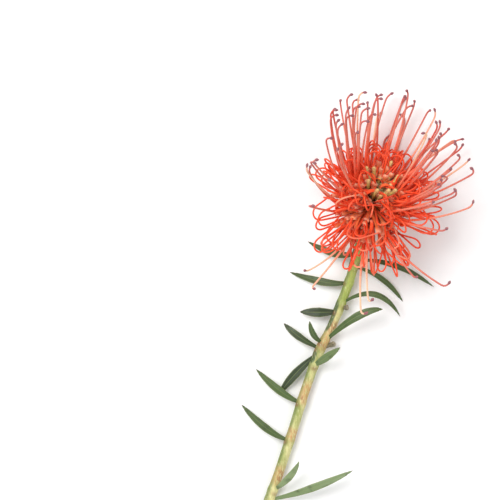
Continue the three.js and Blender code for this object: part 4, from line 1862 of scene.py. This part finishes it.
@dataclass
class Studio:
    """A pale floor, soft light and a camera that looks straight down on the flower.

    The camera's place and view are in millimetres in the flower's own frame. The rest is in metres.
    """

    eye: Triple = (-70.8, -10.2, 1345.0)
    half_view: float = 150.0
    view_distance: float = 1300.0
    furthest: float = 20.0
    floor_width: float = 6.0
    floor_colour: Triple = (0.93, 0.93, 0.93)
    sky: float = 0.58
    key_place: Triple = (-0.9, 0.7, 1.6)
    key_size: float = 1.1
    key_watts: float = 31.0
    fill_place: Triple = (1.1, -0.8, 1.3)
    fill_size: float = 1.2
    fill_watts: float = 8.0

    def camera(self) -> None:
        """Makes the camera, which looks straight down."""
        data = bpy.data.cameras.new("camera")
        data.angle = 2 * math.atan(self.half_view / self.view_distance)
        data.clip_end = self.furthest
        camera = bpy.data.objects.new("camera", data)
        camera.location = Vector((np.array(self.eye) + ORIGIN) * METRE)
        bpy.context.scene.collection.objects.link(camera)
        bpy.context.scene.camera = camera

    def lamp(self, name: str, place: Triple, size: float, watts: float) -> None:
        """Makes a soft lamp that faces the flower.

        Args:
            name: the lamp's name.
            place: where it hangs, in metres.
            size: its width in metres.
            watts: its power.
        """
        data = bpy.data.lights.new(name, "AREA")
        data.energy = watts
        data.size = size
        lamp = bpy.data.objects.new(name, data)
        lamp.location = place
        lamp.rotation_euler = (-Vector(place)).to_track_quat("-Z", "Y").to_euler()
        bpy.context.scene.collection.objects.link(lamp)

    def floor(self) -> None:
        """Makes the floor."""
        half = self.floor_width / 2
        edges = [(-half, -half, 0), (half, -half, 0), (half, half, 0), (-half, half, 0)]
        mesh = bpy.data.meshes.new("floor")
        mesh.from_pydata(edges, [], [(0, 1, 2, 3)])
        graph = Graph("floor_paper", Roughness=0.9)
        grain = graph.noise(1.5, 3)
        graph.shader.inputs["Base Color"].default_value = (*self.floor_colour, 1)
        mesh.materials.append(graph.material)
        graph.links.new(graph.band(grain, 0, 1, 0.85, 0.95), graph.shader.inputs["Roughness"])
        floor = bpy.data.objects.new("floor", mesh)
        bpy.context.scene.collection.objects.link(floor)

    def build(self) -> None:
        """Sets up the whole studio."""
        self.camera()
        self.lamp("key_lamp", self.key_place, self.key_size, self.key_watts)
        self.lamp("fill_lamp", self.fill_place, self.fill_size, self.fill_watts)
        self.floor()
        world = bpy.data.worlds.new("sky")
        world.use_nodes = True
        background = world.node_tree.nodes["Background"]
        background.inputs["Color"].default_value = (1, 1, 1, 1)
        background.inputs["Strength"].default_value = self.sky
        bpy.context.scene.world = world
        bpy.context.scene.view_settings.view_transform = "Standard"


def main() -> None:
    """Builds the flower piece by piece and reports each one."""
    logging.basicConfig(level=logging.INFO, format="%(name)s: %(message)s")
    dice = np.random.default_rng(SEED)
    Studio().build()

    florets = [Floret.numbered(index) for index in range(SIZES.florets)]
    by_stage = {stage: [floret for floret in florets if floret.stage is stage] for stage in Stage}
    wool = MeshPile()
    head = ("florets",)
    opened = OpenFlorets(by_stage[Stage.OPEN])
    opened.styles().piece("open_styles", "floret", StyleFinish("style_skin").material(), head)
    opened.presenters().piece("pollen_presenters", "floret", PresenterFinish().material(), head)
    lobes = opened.lobes(wool, dice)
    lobes.piece("rolled_perianths", "floret", PerianthFinish("rolled_lobes").material(), head)
    looped = LoopFlorets(by_stage[Stage.LOOP])
    bowed = StyleFinish("looped_skin", foot=(196, 102, 26), neck=(242, 78, 36), tip=(222, 90, 58))
    looped.styles().piece("looped_styles", "floret", bowed.material(), head)
    # The held tubes' dark ochre foot and tube are partly painted shade deep in the head.
    held = PerianthFinish("held_tubes", foot=(102, 90, 30), tube=(170, 124, 40), lobe=(226, 108, 46))
    looped.perianths(wool, dice).piece("held_perianths", "floret", held.material(), head)
    wool.piece("perianth_hairs", "floret", HairFinish("perianth_wool").material(), head)

    centre = ("centre_buds",)
    bud_wool = MeshPile()
    straw_wool = HairFinish("bud_wool", root=(204, 172, 96), tip=(240, 222, 168))
    tubes = CentreBuds(by_stage[Stage.BUD]).tubes(bud_wool, dice)
    tubes.piece("bud_tubes", "bud", BudFinish().material(), centre)
    bud_wool.piece("bud_hairs", "bud", straw_wool.material(), centre)
    # The dark colour paints the shade at the foot of the cone, deep among the florets.
    cone_wool = WoollyFinish("receptacle_wool", base=(96, 72, 28), edge=(132, 106, 46), dark=(52, 34, 12))
    Receptacle().cone().piece("receptacle", "bud", cone_wool.material(), ("florets", "centre_buds"))

    cup = ("involucre",)
    bract_hairs = MeshPile()
    bract = WoollyFinish("bract_skin", base=(146, 134, 84), edge=(176, 120, 96), dark=(92, 84, 44))
    Involucre().bracts(bract_hairs, dice).piece("bracts", "bract", bract.material(), cup)
    bract_hairs.piece("bract_hairs", "bract", HairFinish("bract_wool").material(), cup)

    stalk = ("stem",)
    stem = Stem()
    stem.bark().piece("stem_bark", "stem", StemFinish().material(), stalk)
    stem.cut().piece("stem_cut", "stem", CutFinish().material(), stalk)
    down = MeshPile()
    scaly = WoollyFinish("bud_scales", base=(112, 104, 78), edge=(168, 158, 132), dark=(58, 46, 34))
    grey_down = HairFinish("bud_down", root=(150, 140, 112), tip=(214, 206, 184))
    stem.axil_buds(down, dice).piece("axil_buds", "stem", scaly.material(), stalk)
    down.piece("axil_down", "stem", grey_down.material(), stalk)

    leaf_material = LeafFinish().material()
    for number, plan in enumerate(LEAF_PLANS, start=1):
        blade = Leaf(number, plan, stem).blade()
        blade.piece(f"blade_{number:02d}", "leaf", leaf_material, (f"leaf_{number:02d}",))


if __name__ == "__main__":
    main()
